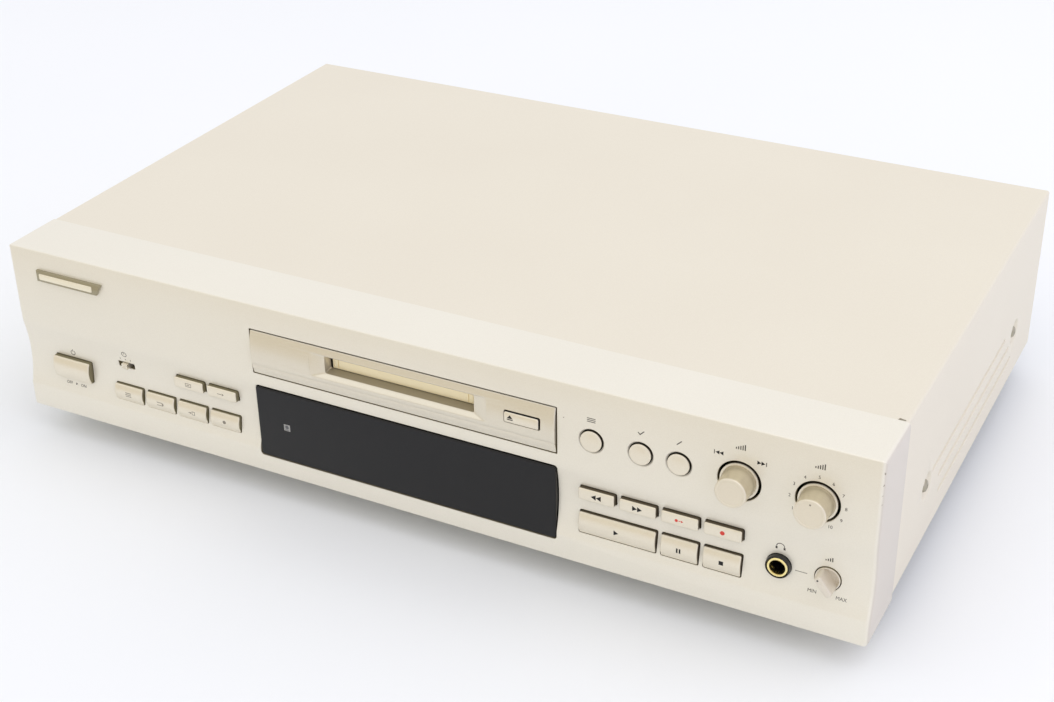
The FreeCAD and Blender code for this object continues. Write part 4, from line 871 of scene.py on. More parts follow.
def champagne(name, base, deep, roughness, metallic, bare=None, hidden=(132, 120, 88)):
    """Satin metallic paint with fine flake and a little orange peel; painted shade in a dark, rough,
    non-metallic tone where a corner falls in a gap.
    """
    material, place = finish(name, coat_roughness=0.22)
    flake = grains(place, 0.22)
    cloud = noise(place, 70)
    if bare is None:
        shaded = place.node("ShaderNodeAttribute", {"attribute_name": "bare"}, output="Fac")
    else:
        shaded = bare(place)
    # Where the mask is set, the paint gives way to the hidden tone: painted shade for the gaps.
    return material, place, {
        "colour": mixed(shaded, mixed(flake * 0.55 + cloud * 0.45, deep, base), tone(*hidden)),
        "roughness": roughness + 0.06 * flake + 0.05 * cloud + 0.2 * shaded,
        "metallic": metallic - metallic * shaded,
        "coat": 0.18 - 0.18 * shaded,
        "height": 0.006 * noise(place, 1.5) + 0.0015 * flake}


def sprayed(*values):
    """Champagne paint as it comes, with the words of champagne."""
    material, _, looks = champagne(*values)
    vary(material, **looks)
    return material


panel_paint, place, looks = champagne("champagne_panel", tone(238, 234, 221), tone(230, 225, 211),
                                      0.33, 0.3)
chipped = None
for x, depth, up, size in CHIPS:
    ragged = place.away(at(x, depth, up)) + (noise(place, 0.5) - 0.5) * 0.0009
    chip = 1 - ramp(ragged, 0.5 * size * MM, 0.75 * size * MM)
    chipped = chip if chipped is None else chipped.math("MAXIMUM", chipped, chip)
# Painted shade on the panel's ends: within 0.9 mm of each end the colour turns greyer and darker and
# loses its metal, for the side faces' lower light.
across = place.axis("X")
end_shade = ramp(across.math("ABSOLUTE", across), (PANEL_HALF - 0.9) * MM, (PANEL_HALF - 0.2) * MM)
looks["colour"] = mixed(end_shade, looks["colour"], tone(210, 203, 192))
looks["metallic"] = looks["metallic"] * (1 - end_shade)
looks["colour"] = mixed(chipped, looks["colour"], tone(150, 142, 124))
looks["height"] = looks["height"] - 0.05 * chipped
vary(panel_paint, **looks)
fit(panel, panel_paint, "case", "champagne_panel", "front_panel")


# ---------------------------------------------------------------- display window
# A smoked acrylic lens, polished and nearly black, pushed into the panel from behind until
# its rim stops it. Its corners are rounded and its front edge has a fine radius.

LENS_CORNER = 1.5
LENS_EDGE = 0.45
LENS_RIM_DEPTH = 5.0
MARK_PLACE = (-59.6, 25.0)
MARK_SIZE = 3.3
PRINT_STRIP = 0.5

lens_low, lens_high = span("display_window")
lens_half = lens_high.x - WINDOW_RIM
lens_base, lens_top = lens_low.z + WINDOW_RIM, lens_high.z - WINDOW_RIM
lens_up, lens_height = (lens_base + lens_top) / 2, lens_top - lens_base


def slab(name, x, up, levels, radius):
    """A solid through rounded rectangles, each (width, height, depth), about one middle."""
    rings = []
    for width, height, depth in levels:
        inset = (levels[0][0] - width) / 2 if levels[0][0] < levels[-1][0] else 0.0
        rings.append([at(x + dx, depth, up + dz)
                      for dx, dz in rounded_outline(width, height, radius + inset, 6)])
    return lofted(name, rings)


def edged(width, height, front, rear, edge):
    """Levels of a block whose front edge is rounded and whose rear edge is square."""
    levels = []
    for fall, rise in quarter(4):
        inset = edge * fall
        levels.append((width - 2 * inset, height - 2 * inset, front + edge * rise))
    return levels + [(width, height, rear)]


levels = edged(2 * lens_half, lens_height, lens_low.y, LENS_RIM_DEPTH, LENS_EDGE)
lens = slab("smoked_display_lens", 0, lens_up, levels, LENS_CORNER)
rim = slab("lens_rim", 0, lens_up,
           [(lens_high.x * 2, lens_high.z - lens_low.z, depth)
            for depth in (LENS_RIM_DEPTH - 0.01, lens_high.y)], LENS_CORNER)


def welded(solid, *others):
    """Join closed solids into one."""
    return combined(solid, others, "UNION")


welded(lens, rim)
smoked, place = finish("smoked_acrylic", ior=1.47, specular=0.42)
dust = ramp(grains(place, 0.35), 0.985, 1.0)
vary(smoked,
     colour=mixed(noise(place, 40), tone(7, 6, 7), tone(10, 9, 10)),
     roughness=0.035 + 0.02 * noise(place, 12) + 0.1 * dust)
fit(lens, smoked, "case", "smoked_lens", "display_window")


def printed(name, shapes, surface, body, material, slot, lift=0.03):
    """Thin printed shapes, polygons of (x, up), laid over a surface that gives their depth."""
    built = bmesh.new()
    for shape in shapes:
        built.faces.new([built.verts.new((x, 0.0, up)) for x, up in shape])
    bmesh.ops.remove_doubles(built, verts=built.verts, dist=1e-4)
    lows = [corner.co.z for corner in built.verts]
    level = min(lows) + PRINT_STRIP
    while level < max(lows):
        bmesh.ops.bisect_plane(built, geom=built.verts[:] + built.edges[:] + built.faces[:],
                               plane_co=(0, 0, level), plane_no=(0, 0, 1))
        level += PRINT_STRIP
    raised = bmesh.ops.extrude_face_region(built, geom=built.faces[:])
    backs = {item for item in raised["geom"] if isinstance(item, bmesh.types.BMVert)}
    for corner in built.verts:
        x, up = corner.co.x, corner.co.z
        corner.co = at(x, surface(x, up) + (lift if corner in backs else -lift), up)
    bmesh.ops.recalc_face_normals(built, faces=built.faces)
    return fit(shaped(name, built), material, body, slot)


def flush(depth):
    """A surface at one depth, to print on."""
    return lambda x, up: depth


def ink(name, low, high):
    """Screen-printed ink, with the small unevenness of the print."""
    return blotched(name, 0.8, low, high, (0.5, 0.12, 0.3), specular=0.4)


def block(x, up, width, height):
    """A rectangle's corners about its middle."""
    return [(x - width / 2, up - height / 2), (x + width / 2, up - height / 2),
            (x + width / 2, up + height / 2), (x - width / 2, up + height / 2)]


def frame_of(x, up, width, height, line):
    """Four mitred bars round a rectangle, inside its outline."""
    outer = block(x, up, width, height)
    inner = block(x, up, width - 2 * line, height - 2 * line)
    return [[outer[side], outer[side - 3], inner[side - 3], inner[side]] for side in range(4)]


def disc(x, up, radius, count=24):
    """A regular polygon that stands for a printed dot."""
    return [(x + radius * math.cos(2 * math.pi * step / count),
             up + radius * math.sin(2 * math.pi * step / count)) for step in range(count)]


pale_ink = ink("lens_pale_ink", (150, 150, 148), (164, 164, 162))
lens_ink = ink("lens_grey_ink", (84, 85, 88), (98, 99, 102))
x, up = MARK_PLACE
printed("window_corner_square", [block(x, up, MARK_SIZE, MARK_SIZE)],
        flush(lens_low.y), "case", pale_ink, "smoked_lens", lift=0.02)
printed("window_corner_disc", [disc(x, up + 0.25, 0.95), block(x, up - 1.15, 2.1, 0.3)],
        flush(lens_low.y), "case", lens_ink, "smoked_lens", lift=0.035)


# ---------------------------------------------------------------- disc bezel
# A moulded plate with a bowed face, clipped in from behind. A soft-edged scoop narrows to the
# disc slot; to its right is the eject button's opening. It has the panel's satin champagne.

BEZEL_CREASE = (-1.15, 54.5)
CREASE_SOFT = 0.25
BEZEL_BOW_RADIUS = 40.0
BEZEL_THICK = 4.6
BEZEL_EDGE = 0.25
BEZEL_FADE = 0.12
RIM_FRONT = 3.05
SCOOP = (43.5, 56.9, 68.3)
MOUTH = (36.9, 58.7, 67.2)
SLOT = (36.3, 59.7, 67.4)
SCOOP_END = 0.4
EJECT_SNUG = 0.12
EJECT_ROOM = 0.65
EAR = (38.6, 3.0)

plate_half = bezel_width / 2 - BEZEL_RIM
plate_base = bezel_up - bezel_height / 2 + BEZEL_RIM
plate_top = bezel_up + bezel_height / 2 - BEZEL_RIM
bow = arc_depth(BEZEL_CREASE, (0.0, plate_top), BEZEL_BOW_RADIUS, -1)


def bezel_face(x, up):
    """Depth of the bezel's face at a height."""
    if up < BEZEL_CREASE[1]:
        return BEZEL_CREASE[0] * max(0.0, (up - plate_base) / (BEZEL_CREASE[1] - plate_base))
    return bow(min(up, plate_top))


def bezel_ring(x, inset):
    """The bezel's outline at one place across, its face set back by an inset."""
    low, high = plate_base + inset, plate_top - inset
    crease, flank = BEZEL_CREASE[1], BEZEL_EDGE + inset + BEZEL_FADE
    front_low, front_high = bezel_face(x, low + BEZEL_EDGE), bezel_face(x, high - BEZEL_EDGE)
    points = [(BEZEL_THICK, low), (front_low + flank, low)]
    points += [(front_low + inset + BEZEL_EDGE * fall, low + BEZEL_EDGE * rise)
               for fall, rise in quarter(3)]
    ups = [plate_base + 1.0, plate_base + 2.5, crease - 0.7, crease - 0.35, crease - 0.1,
           crease + 0.1, crease + 0.35, crease + 0.8]
    ups += [crease + 0.8 + (plate_top - 1.2 - crease) * step / 22 for step in range(1, 22)]
    points += [(bezel_face(x, up) + inset + CREASE_SOFT * max(0.0, 1 - abs(up - crease) / 0.8), up)
               for up in ups if up < high - BEZEL_EDGE]
    points += [(front_high + inset + BEZEL_EDGE * rise, high - BEZEL_EDGE * fall)
               for fall, rise in quarter(3)]
    points += [(front_high + flank, high), (BEZEL_THICK, high)]
    return [at(x, depth, up) for depth, up in points]


steps_in = [0.0, 0.08, BEZEL_EDGE]
rings = [bezel_ring(side * (plate_half - across), BEZEL_EDGE - across)
         for side, insets in ((-1, steps_in), (1, reversed(steps_in))) for across in insets]
plate = lofted("bowed_disc_bezel", rings)
flange = slab("bezel_rim", 0, (plate_base + plate_top) / 2,
              [(bezel_width, bezel_height, depth) for depth in (RIM_FRONT, BEZEL_THICK - 0.02)], 0.6)


def scoop_ring(half, low, high, radius, share, end=SCOOP_END):
    """One rounded rectangle of the scoop, a share of the way from the bowed face to a depth."""
    outline = rounded_outline(2 * half, high - low, radius, 6)
    middle = (low + high) / 2
    return [at(dx, bezel_face(dx, middle + dz) * (1 - share) + end * share, middle + dz)
            for dx, dz in outline]


def between(first, second, share):
    """Sizes part of the way from one set to another."""
    return tuple(one + (two - one) * share for one, two in zip(first, second))


scoop_rings = [scoop_ring(SCOOP[0] + 0.5, SCOOP[1] - 0.5, SCOOP[2] + 0.5, 1.4, 1.0, -4.0),
               scoop_ring(SCOOP[0] + 0.3, SCOOP[1] - 0.3, SCOOP[2] + 0.3, 1.3, 0.03, -4.0)]
for share in (0.03, 0.1, 0.3, 0.65, 0.95, 1.0):
    scoop_rings.append(scoop_ring(*between(SCOOP, MOUTH, share), 1.2 - 0.5 * share, share ** 1.15))
for sizes, depth in ((between(MOUTH, SLOT, 0.05), SCOOP_END + SHADE_FADE), (SLOT, BEZEL_THICK),
                     (SLOT, BEZEL_THICK + 1.0)):
    scoop_rings.append(scoop_ring(*sizes, 0.9, 1.0, depth))
scoop = lofted("bezel_scoop", scoop_rings)
eject_x, eject_up, eject_width, eject_height = middle_of("eject_button")
shift, growth = (EJECT_ROOM - EJECT_SNUG) / 2, EJECT_ROOM + EJECT_SNUG
eject_hole = opening("eject_opening", eject_x + shift, eject_up + shift, eject_width + growth,
                     eject_height + growth, 0.9, bezel_face, lip=0.15, end=6.0)
flap_low, flap_high = span("disc_flap")
flap_pivot = (6.0, 68.6)
ears = [slab(f"flap_ear_{index}", side * EAR[0], flap_pivot[1],
             [(EAR[1], 5.2, BEZEL_THICK - 0.2), (EAR[1], 5.2, BEZEL_THICK + 4)], 0.4)
        for index, side in enumerate((-1, 1))]


def rod(name, radius, ends):
    """A round rod along the flap's hinge."""
    return lofted(name, [[at(x, depth, up) for depth, up in disc(*flap_pivot, radius, 20)]
                         for x in ends])


pin_hole = rod("flap_pin_hole", 0.95, (-40.5, 40.5))
flap_room = slab("flap_room", 0, 65.5, [(72.6, 11.6, BEZEL_THICK - 0.05), (72.6, 11.6, 9.6)], 0.1)
carved(welded(plate, flange, *ears), [scoop, eject_hole, pin_hole, flap_room])


def bezel_missed(x, depth, up):
    """How much painted shade a corner takes: wholly in the gaps, partly on the slot's floor."""
    hidden = depth > bezel_face(x, up) + BEZEL_EDGE + 0.1
    if hidden and (abs(x) > plate_half - 0.1 or up > plate_top - 0.1 or up < plate_base + 0.1
                   or x > eject_x - eject_width / 2 - 0.4):
        return 1.0
    return 0.8 if depth > SCOOP_END + 0.2 and up < SLOT[1] + 0.2 else 0.0


# Painted shade: the bezel's flanks in the gaps and the floor of the slot take a dark tone.
unpainted(plate, bezel_missed)
bezel_paint = sprayed("champagne_bezel", tone(231, 225, 210), tone(222, 215, 198), 0.3, 0.7)
fit(plate, bezel_paint, "case", "champagne_panel", "disc_bezel")


# ---------------------------------------------------------------- disc flap
# A spring-loaded bar of brushed gold aluminium closes the slot. It is hinged on pins along
# its top edge, and a small notch near each end lets it clear the disc's guides.

FLAP_THICK = 1.5
FLAP_FRONT = 4.35
FLAP_NOSE = 0.25
FLAP_LENGTH = 8.7
FLAP_BARREL = 1.1
FLAP_PIN = 0.9
FLAP_NOTCHES = ((32.3, 0.5, 0.45), (34.5, 0.25, 0.2))
FLAP_END_GAP = 0.6

flap_half = flap_high.x - 4.0 - FLAP_END_GAP
front, rear = FLAP_FRONT, flap_pivot[0] + FLAP_THICK / 2
lower = flap_pivot[1] - FLAP_LENGTH + 0.07


def flap_section(x, inset):
    """The flap's outline at one place across, rounded along its lower edge."""
    points = [(rear - inset, flap_pivot[1] - 0.6), (rear - inset, lower + inset + 0.5)]
    points += [(rear - inset - 0.5 * rise, lower + inset + 0.5 * fall)
               for fall, rise in quarter(3)[1:]]
    points += [(front + inset + FLAP_NOSE * fall, lower + inset + FLAP_NOSE * rise)
               for fall, rise in quarter(4)]
    points += [(front + inset, flap_pivot[1] - 1.8),
               (flap_pivot[0] - FLAP_BARREL + inset, flap_pivot[1] - 1.2)]
    points += [(flap_pivot[0] - (FLAP_BARREL - inset) * math.cos(turn),
                flap_pivot[1] + (FLAP_BARREL - inset) * math.sin(turn))
               for turn in (math.radians(180 * step / 10) for step in range(11))]
    return [at(x, depth, up) for depth, up in points]


blade = lofted("brushed_disc_flap", [flap_section(side * (flap_half - across), 0.3 - across)
                                     for side, insets in ((-1, (0.0, 0.1, 0.3)), (1, (0.3, 0.1, 0.0)))
                                     for across in insets])
welded(blade, rod("flap_pin", FLAP_PIN, (flap_low.x, flap_high.x)))
carved(blade, [slab(f"flap_notch_{index}_{side}", side * x, (lower + flap_pivot[1]) / 2 - 0.6,
                    [(wide, FLAP_LENGTH - 2.4, depth) for depth in (front - 1, front + sunk)], 0.1)
               for index, (x, wide, sunk) in enumerate(FLAP_NOTCHES) for side in (-1, 1)])
flap_gold, place = finish("brushed_gold", metallic=0.35, coat=0.15, coat_roughness=0.2)
brushed = noise(place, 0.16, 3, (90, 1, 1))
vary(flap_gold,
     colour=mixed(brushed * 0.7 + noise(place, 25) * 0.3, tone(250, 236, 196), tone(255, 246, 214)),
     roughness=0.3 + 0.16 * brushed,
     height=0.006 * brushed)
fit(blade, flap_gold, "disc_flap", "gold_flap", "disc_flap")


# ---------------------------------------------------------------- keys
# Thirteen moulded keys in two rows on each side, painted with the panel and printed in black,
# grey or red. Their faces are bowed from top to bottom; the lower row is bowed more.

KEY_EDGE = 0.5
KEY_BOW = 1.1
UPPER_KEY_BOW = 0.22


def bowed_face(node, bow_depth):
    """Depth of a key's bowed face at a height, from the node's own box."""
    low, high = span(node)
    middle, reach = (low.z + high.z) / 2, (high.z - low.z) / 2
    return lambda x, up: low.y + bow_depth * min(1.0, ((up - middle) / reach) ** 2)


def bowed_block(name, node, bow_depth, edge, corner, bend=0.0):
    """A block as large as a node whose front is bowed and whose front edges are rounded."""
    low, high = span(node)
    surface = bowed_face(node, bow_depth)

    def ring(x, inset_up, inset_depth):
        base, top = low.z + inset_up, high.z - inset_up
        sag = bend * ((x - (low.x + high.x) / 2) / ((high.x - low.x) / 2)) ** 2
        ups = [base + edge + (top - base - 2 * edge) * step / 14 for step in range(1, 14)]
        points = [(high.y, base)]
        points += [(surface(x, base + edge) + edge * fall, base + edge * rise)
                   for fall, rise in quarter(4)]
        points += [(surface(x, up), up) for up in ups]
        points += [(surface(x, top - edge) + edge * rise, top - edge * fall)
                   for fall, rise in quarter(4)]
        points += [(high.y, top)]
        return [at(x, depth if depth == high.y else depth + inset_depth + sag, up)
                for depth, up in points]

    stations = []
    for fall, rise in quarter(6):
        left_over = max(0.0, edge - corner * rise)
        stations.append((corner * rise, corner * fall,
                         edge - math.sqrt(max(0.0, edge ** 2 - left_over ** 2))))
    rings = [ring(low.x + across, inset, sunk) for across, inset, sunk in stations]
    width = high.x - low.x
    if bend:
        rings += [ring(low.x + corner + (width - 2 * corner) * step / 10, 0.0, 0.0)
                  for step in range(1, 10)]
    rings += [ring(high.x - across, inset, sunk) for across, inset, sunk in reversed(stations)]
    return lofted(name, rings)


def key_finish(name, node, bow_depth, start, hidden):
    """The keys' satin paint, with painted shade a little behind the front edges of a bowed piece."""
    low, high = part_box(node)
    middle, reach = (low.z + high.z) / 2, (high.z - low.z) / 2

    def bare(place):
        """How much painted shade a place takes, by its depth behind the bowed face."""
        share = (place.axis("Z") - middle) / reach
        behind = place.axis("Y") - low.y - bow_depth * MM * share * share
        return ramp(behind, start * MM, (start + 0.15) * MM)

    return sprayed(name, tone(239, 232, 215), tone(230, 222, 203), 0.3, 0.7, bare, hidden)


# Painted shade for the keys' flanks in their gaps: olive on the left keys, darker brown on the right
# keys.
OLIVE = (120, 112, 84)
BROWN = (84, 74, 56)
right_paints = (key_finish("champagne_lower_keys", "play_key", KEY_BOW, 0.4, BROWN),
                key_finish("champagne_upper_keys", "record_key", UPPER_KEY_BOW, 0.4, BROWN))
left_paints = (key_finish("champagne_left_keys", "time_key", KEY_BOW, 0.4, OLIVE),
               key_finish("champagne_left_upper_keys", "scroll_key", UPPER_KEY_BOW, 0.4, OLIVE))
black_ink = ink("black_ink", (12, 11, 10), (22, 21, 20))
red_ink = ink("red_ink", (206, 58, 50), (222, 74, 62))
grey_ink = ink("grey_ink", (128, 122, 110), (146, 140, 128))


def arrow(x, up, size, side=1):
    """A triangle that points right, or left for side -1."""
    return [(x - side * size * 0.45, up - size / 2), (x + side * size * 0.45, up),
            (x - side * size * 0.45, up + size / 2)][::side]


def symbol(word, x, up, size):
    """The polygons of a transport symbol, or a small dot."""
    if word == "rewind":
        return [arrow(x - size * 0.46, up, size, -1), arrow(x + size * 0.46, up, size, -1)]
    if word == "forward":
        return [arrow(x - size * 0.46, up, size), arrow(x + size * 0.46, up, size)]
    if word == "play":
        return [arrow(x, up, size)]
    if word == "pause":
        return [block(x + side * size * 0.28, up, size * 0.32, size) for side in (-1, 1)]
    if word == "stop":
        return [block(x, up, size, size)]
    if word == "record":
        return [disc(x, up, size / 2)]
    if word == "record_sync":
        return [disc(x - size * 0.75, up, size * 0.4),
                block(x + size * 0.1, up, size * 0.6, size * 0.16),
                arrow(x + size * 0.75, up, size * 0.62)]
    if word == "display":
        return frame_of(x, up, size * 1.7, size, size * 0.14) + [
            block(x, up, size * 0.9, size * 0.18)]
    if word == "scroll":
        return [block(x - size * 0.45, up, size * 1.1, size * 0.16),
                arrow(x + size * 0.5, up, size * 0.6)]
    if word == "mode":
        return [block(x, up + size * (row - 1) * 0.4, size * 1.5, size * 0.16) for row in range(3)]
    if word == "repeat":
        return frame_of(x, up, size * 1.6, size * 0.8, size * 0.14)[:3] + [
            arrow(x + size * 0.75, up, size * 0.55, -1)]
    if word == "input":
        return frame_of(x + size * 0.5, up, size * 0.9, size, size * 0.14) + [
            arrow(x - size * 0.25, up, size * 0.6),
            block(x - size * 0.75, up, size * 0.5, size * 0.14)]
    return [disc(x, up, size * 0.5, 20)]


KEYS = {
    "rewind_key": ("rewind", 2.5, black_ink), "forward_key": ("forward", 2.4, black_ink),
    "record_sync_key": ("record_sync", 1.7, red_ink), "record_key": ("record", 2.0, red_ink),
    "play_key": ("play", 2.4, black_ink), "pause_key": ("pause", 2.2, black_ink),
    "stop_key": ("stop", 1.9, black_ink), "display_key": ("display", 1.9, grey_ink),
    "scroll_key": ("scroll", 2.1, grey_ink), "play_mode_key": ("mode", 2.2, grey_ink),
    "repeat_key": ("repeat", 2.2, grey_ink), "input_key": ("input", 1.9, grey_ink),
    "time_key": ("time", 1.8, grey_ink)}
for node, (word, size, colour) in KEYS.items():
    x, up, _, height = middle_of(node)
    bow_depth = KEY_BOW if height > 7 else UPPER_KEY_BOW
    cap = bowed_block(f"{node}_cap", node, bow_depth, KEY_EDGE, 0.7)
    paints = right_paints if x > 0 else left_paints
    fit(cap, paints[0 if height > 7 else 1], body_of(node), "champagne_keys", node)
    printed(f"{node}_symbol", symbol(word, x, up, size), bowed_face(node, bow_depth),
            body_of(node), colour, "champagne_keys")


# ---------------------------------------------------------------- round buttons and eject button
# Three small domed buttons in dished holes, and the eject button that stands proud of the
# bezel. All are moulded and painted like the keys.

ROUND_DOME = 0.3
ROUND_EDGE = 0.35

# Painted shade: near-black brown on the round buttons' flanks in their holes.
round_paint = key_finish("champagne_round_buttons", "menu_button", 0.0, 0.65, (44, 38, 28))
for node in ROUND_NODES:
    low, high = span(node)
    x, up, width, _ = middle_of(node)
    radius = width / 2
    dome = [(radius * 0.88 * share, ROUND_DOME * share ** 2) for share in (0, 0.25, 0.5, 0.75, 1.0)]
    edge = rounding(ROUND_EDGE, -62, 0, radius - ROUND_EDGE, ROUND_DOME + ROUND_EDGE - 0.06)
    profile = dome + edge + [(radius, high.y - low.y), (0, high.y - low.y)]
    button = turned(f"{node}_cap", (x, low.y, up), profile, steps=64)
    fit(button, round_paint, body_of(node), "champagne_keys", node)

eject = bowed_block("eject_button_cap", "eject_button", 0.3, 0.6, 0.9)
# Painted shade: near-black on the eject button's flanks in its gap.
eject_paint = key_finish("champagne_eject_button", "eject_button", 0.3, 0.15, (30, 27, 20))
fit(eject, eject_paint, body_of("eject_button"), "champagne_keys", "eject_button")
EJECT_MARK = (54.9, 62.1)
EJECT_SIZE = 2.7
x, up = EJECT_MARK
eject_mark = [[(x - EJECT_SIZE / 2, up - 0.2), (x + EJECT_SIZE / 2, up - 0.2),
               (x, up + EJECT_SIZE * 0.5)], block(x, up - 0.75, EJECT_SIZE, 0.45)]
printed("eject_mark", eject_mark, bowed_face("eject_button", 0.3), "eject_button", black_ink,
        "champagne_keys")


# ---------------------------------------------------------------- power button and timer slider
# The power button is a fat barrel-shaped bar that stands well out of the panel. Above it a
# small ribbed slider runs in a slot. Both are moulded and painted.

power = bowed_block("power_button_bar", "power_button", 1.3, 0.5, 0.45, bend=0.2)
# Painted shade: olive on the power button's flanks in its gap.
power_paint = key_finish("champagne_power_button", "power_button", 1.3, 0.65, OLIVE)
fit(power, power_paint, body_of("power_button"), "champagne_keys", "power_button")

SLIDER_GROOVE = 0.35
SLIDER_END = 0.15
SLIDER_REAR = 8.2

low, high = span("timer_slider")
slider_rings = []
for step in range(13):
    x = low.x + (high.x - low.x) * step / 12
    front = low.y + (SLIDER_GROOVE if step % 3 == 1 else 0.0)
    front += SLIDER_END if step in (0, 12) else 0.0
    slider_rings.append([at(x, depth, up) for depth, up in (
        (SLIDER_REAR, low.z), (front + 0.2, low.z), (front, low.z + 0.25), (front, high.z - 0.25),
        (front + 0.2, high.z), (SLIDER_REAR, high.z))])
slider = lofted("timer_slider_thumb", slider_rings)
foot = slab("timer_slider_foot", (low.x + high.x) / 2, (low.z + high.z) / 2,
            [(high.x - low.x, 1.8, depth) for depth in (SLIDER_REAR - 0.1, high.y)], 0.15)
welded(slider, foot)
fit(slider, left_paints[0], body_of("timer_slider"), "champagne_keys", "timer_slider")


# ---------------------------------------------------------------- jog and level knobs
# Two knobs turned from aluminium: a tapered grip, a flat spun cap with a bright rim, and a
# polished skirt ring at the base. The level knob has a pointer dot near its rim.

KNOB_CAP = 6.6
KNOB_BASE = 8.05
KNOB_PROUD = 9.7


def knob_profile(bore, end):
    """A knob's (radius, depth behind the cap) from the middle of its cap back."""
    points = [(0, 0.12), (KNOB_CAP - 1.3, 0.12), (KNOB_CAP - 1.15, 0.0)]
    points += rounding(0.6, -90, -12, KNOB_CAP - 0.62, 0.6)
    points += [(KNOB_CAP + 0.02 + (KNOB_BASE - 0.95 - KNOB_CAP) * share ** 1.7,
                0.8 + (KNOB_PROUD - 1.15) * share)
               for share in (0.08, 0.2, 0.35, 0.5, 0.65, 0.8, 0.92, 1.0)]
    points += [(KNOB_BASE - 1.05, KNOB_PROUD - 0.1), (KNOB_BASE - 0.85, KNOB_PROUD - 0.1),
               (KNOB_BASE - 0.8, KNOB_PROUD - 0.3)]
    points += rounding(0.12, -80, 0, KNOB_BASE - 0.12, KNOB_PROUD - 0.18)
    return points + [(KNOB_BASE, 11.7)] + end + [(0, bore)]


def spun(name, x, up, front):
    """Lathe-turned aluminium with rings about its axis: pale cap and skirt, darker grip, and painted
    shade in dark brown where it sinks into the panel's hole.
    """
    material, place = finish(name)
    depth = place.axis("Y")
    along = place.node("ShaderNodeCombineXYZ", None, {"X": beside(place, x, up), "Y": depth})
    rings, wide_rings = (along.node("ShaderNodeTexNoise", None,
                                    {"Vector": along, "Scale": scale, "Detail": detail})
                         for scale, detail in ((9000.0, 3.0), (1600.0, 2.0)))
    behind_cap = ramp(depth, at(0, front + 0.15, 0).y, at(0, front + 0.7, 0).y)
    grip = behind_cap * (1 - ramp(depth, at(0, -0.45, 0).y, at(0, -0.38, 0).y))
    shade = rings * 0.6 + wide_rings * 0.4
    # Painted shade: behind the panel's face the metal turns dark brown, for the shade in the gap round
    # the knob.
    sunk = ramp(depth, at(0, 0.1, 0).y, at(0, 0.6, 0).y)
    turned_metal = mixed(grip, mixed(shade, tone(224, 216, 198), tone(238, 231, 214)),
                         mixed(shade, tone(200, 190, 165), tone(230, 221, 198)))
    vary(material,
         colour=mixed(sunk, turned_metal, tone(84, 70, 52)),
         roughness=0.26 + 0.14 * rings + 0.2 * (1 - behind_cap),
         metallic=0.55 + 0.3 * grip,
         height=0.003 * rings + 0.002 * wide_rings)
    return material


GRIP = 3.05
for node, piece_name, tail in (
        ("jog_knob", "spun_jog_knob", [(GRIP, 11.7), (GRIP, 5.0)]),
        ("rec_level_knob", "spun_level_knob", [(3.0, 11.7), (3.0, 21.7)])):
    low, high = span(node)
    x, up = middle_of(node)[:2]
    profile = knob_profile(5.0 if node == "jog_knob" else 21.7, tail)
    knob = turned(piece_name, (x, low.y, up), profile, steps=128)
    fit(knob, spun(f"{piece_name}_metal", x, up, low.y), node, "turned_knob", node)

scale_x, scale_up = middle_of("rec_level_knob")[:2]
printed("level_knob_pointer", [disc(scale_x, scale_up + 4.4, 0.4)],
        flush(span("rec_level_knob")[0].y + 0.12), "rec_level_knob", grey_ink, "turned_knob")


# ---------------------------------------------------------------- phones level knob
# A small moulded knob: a disc set in its hole with a rounded bar across it to grip.

BAR_LENGTH = 9.9
BAR_THICK = 3.2
BAR_TILT = 52.0
DISC_FRONT, DISC_REAR = 1.3, 4.85
BOWL_FLOOR = DISC_FRONT + 1.5

low = span("phones_level_knob")[0]
phones_x, phones_up = middle_of("phones_level_knob")[:2]
knob_disc = turned("phones_level_disc_and_bar", (phones_x, 0, phones_up),
                   [(0, BOWL_FLOOR), (3.2, BOWL_FLOOR), (4.0, BOWL_FLOOR - 0.35),
                    (4.5, DISC_FRONT + 0.3), (4.7, DISC_FRONT)]
                   + rounding(0.2, -90, 0, 5.0, DISC_FRONT + 0.2)
                   + [(5.2, DISC_FRONT + 0.45), (5.2, DISC_REAR), (3.0, DISC_REAR), (3.0, 12.0),
                      (0, 12.0)], steps=72)
turn = Matrix.Rotation(math.radians(BAR_TILT), 3, "Y")
bar_rings = []
for inset, depth in ((1.0, low.y + 0.02), (0.6, low.y + 0.06), (0.25, low.y + 0.2),
                     (0.06, low.y + 0.5), (0.0, low.y + 0.9), (0.0, BOWL_FLOOR + 0.2)):
    bar_rings.append([at(*(turn @ Vector((dx, 0, dz)) + Vector((phones_x, depth, phones_up))))
                      for dx, dz in rounded_outline(BAR_LENGTH - 2 * inset, BAR_THICK - 2 * inset,
                                                    1.3 - inset, 5)])
bar = lofted("phones_bar", bar_rings)
welded(knob_disc, bar)
# Painted shade: the disc's flank behind its front takes the dark hidden tone, for the shade in its
# hole.
unpainted(knob_disc, lambda x, depth, up: float(
    depth > DISC_FRONT + 0.4 and math.hypot(x - phones_x, up - phones_up) > 5.1))
phones_paint = sprayed("champagne_phones_knob", tone(230, 223, 209), tone(220, 212, 197), 0.34, 0.6)
fit(knob_disc, phones_paint, "phones_level_knob", "champagne_keys", "phones_level_knob")
dot = turn @ Vector((-BAR_LENGTH / 2 + 1.5, 0, 0))
printed("phones_knob_dot", [disc(phones_x + dot.x, phones_up + dot.z, 0.4)],
        flush(low.y + 0.02), "phones_level_knob", black_ink, "champagne_keys")


# ---------------------------------------------------------------- headphone jack
# A black moulded jack pushed through the panel from the board, with a gold-plated ring
# turned in brass round its mouth.

JACK_PROUD = 0.45
JACK_BORE = 3.25
JACK_RING_RADIUS = 4.45
JACK_RING_LENGTH = 3.0
JACK_REAR = 33.0

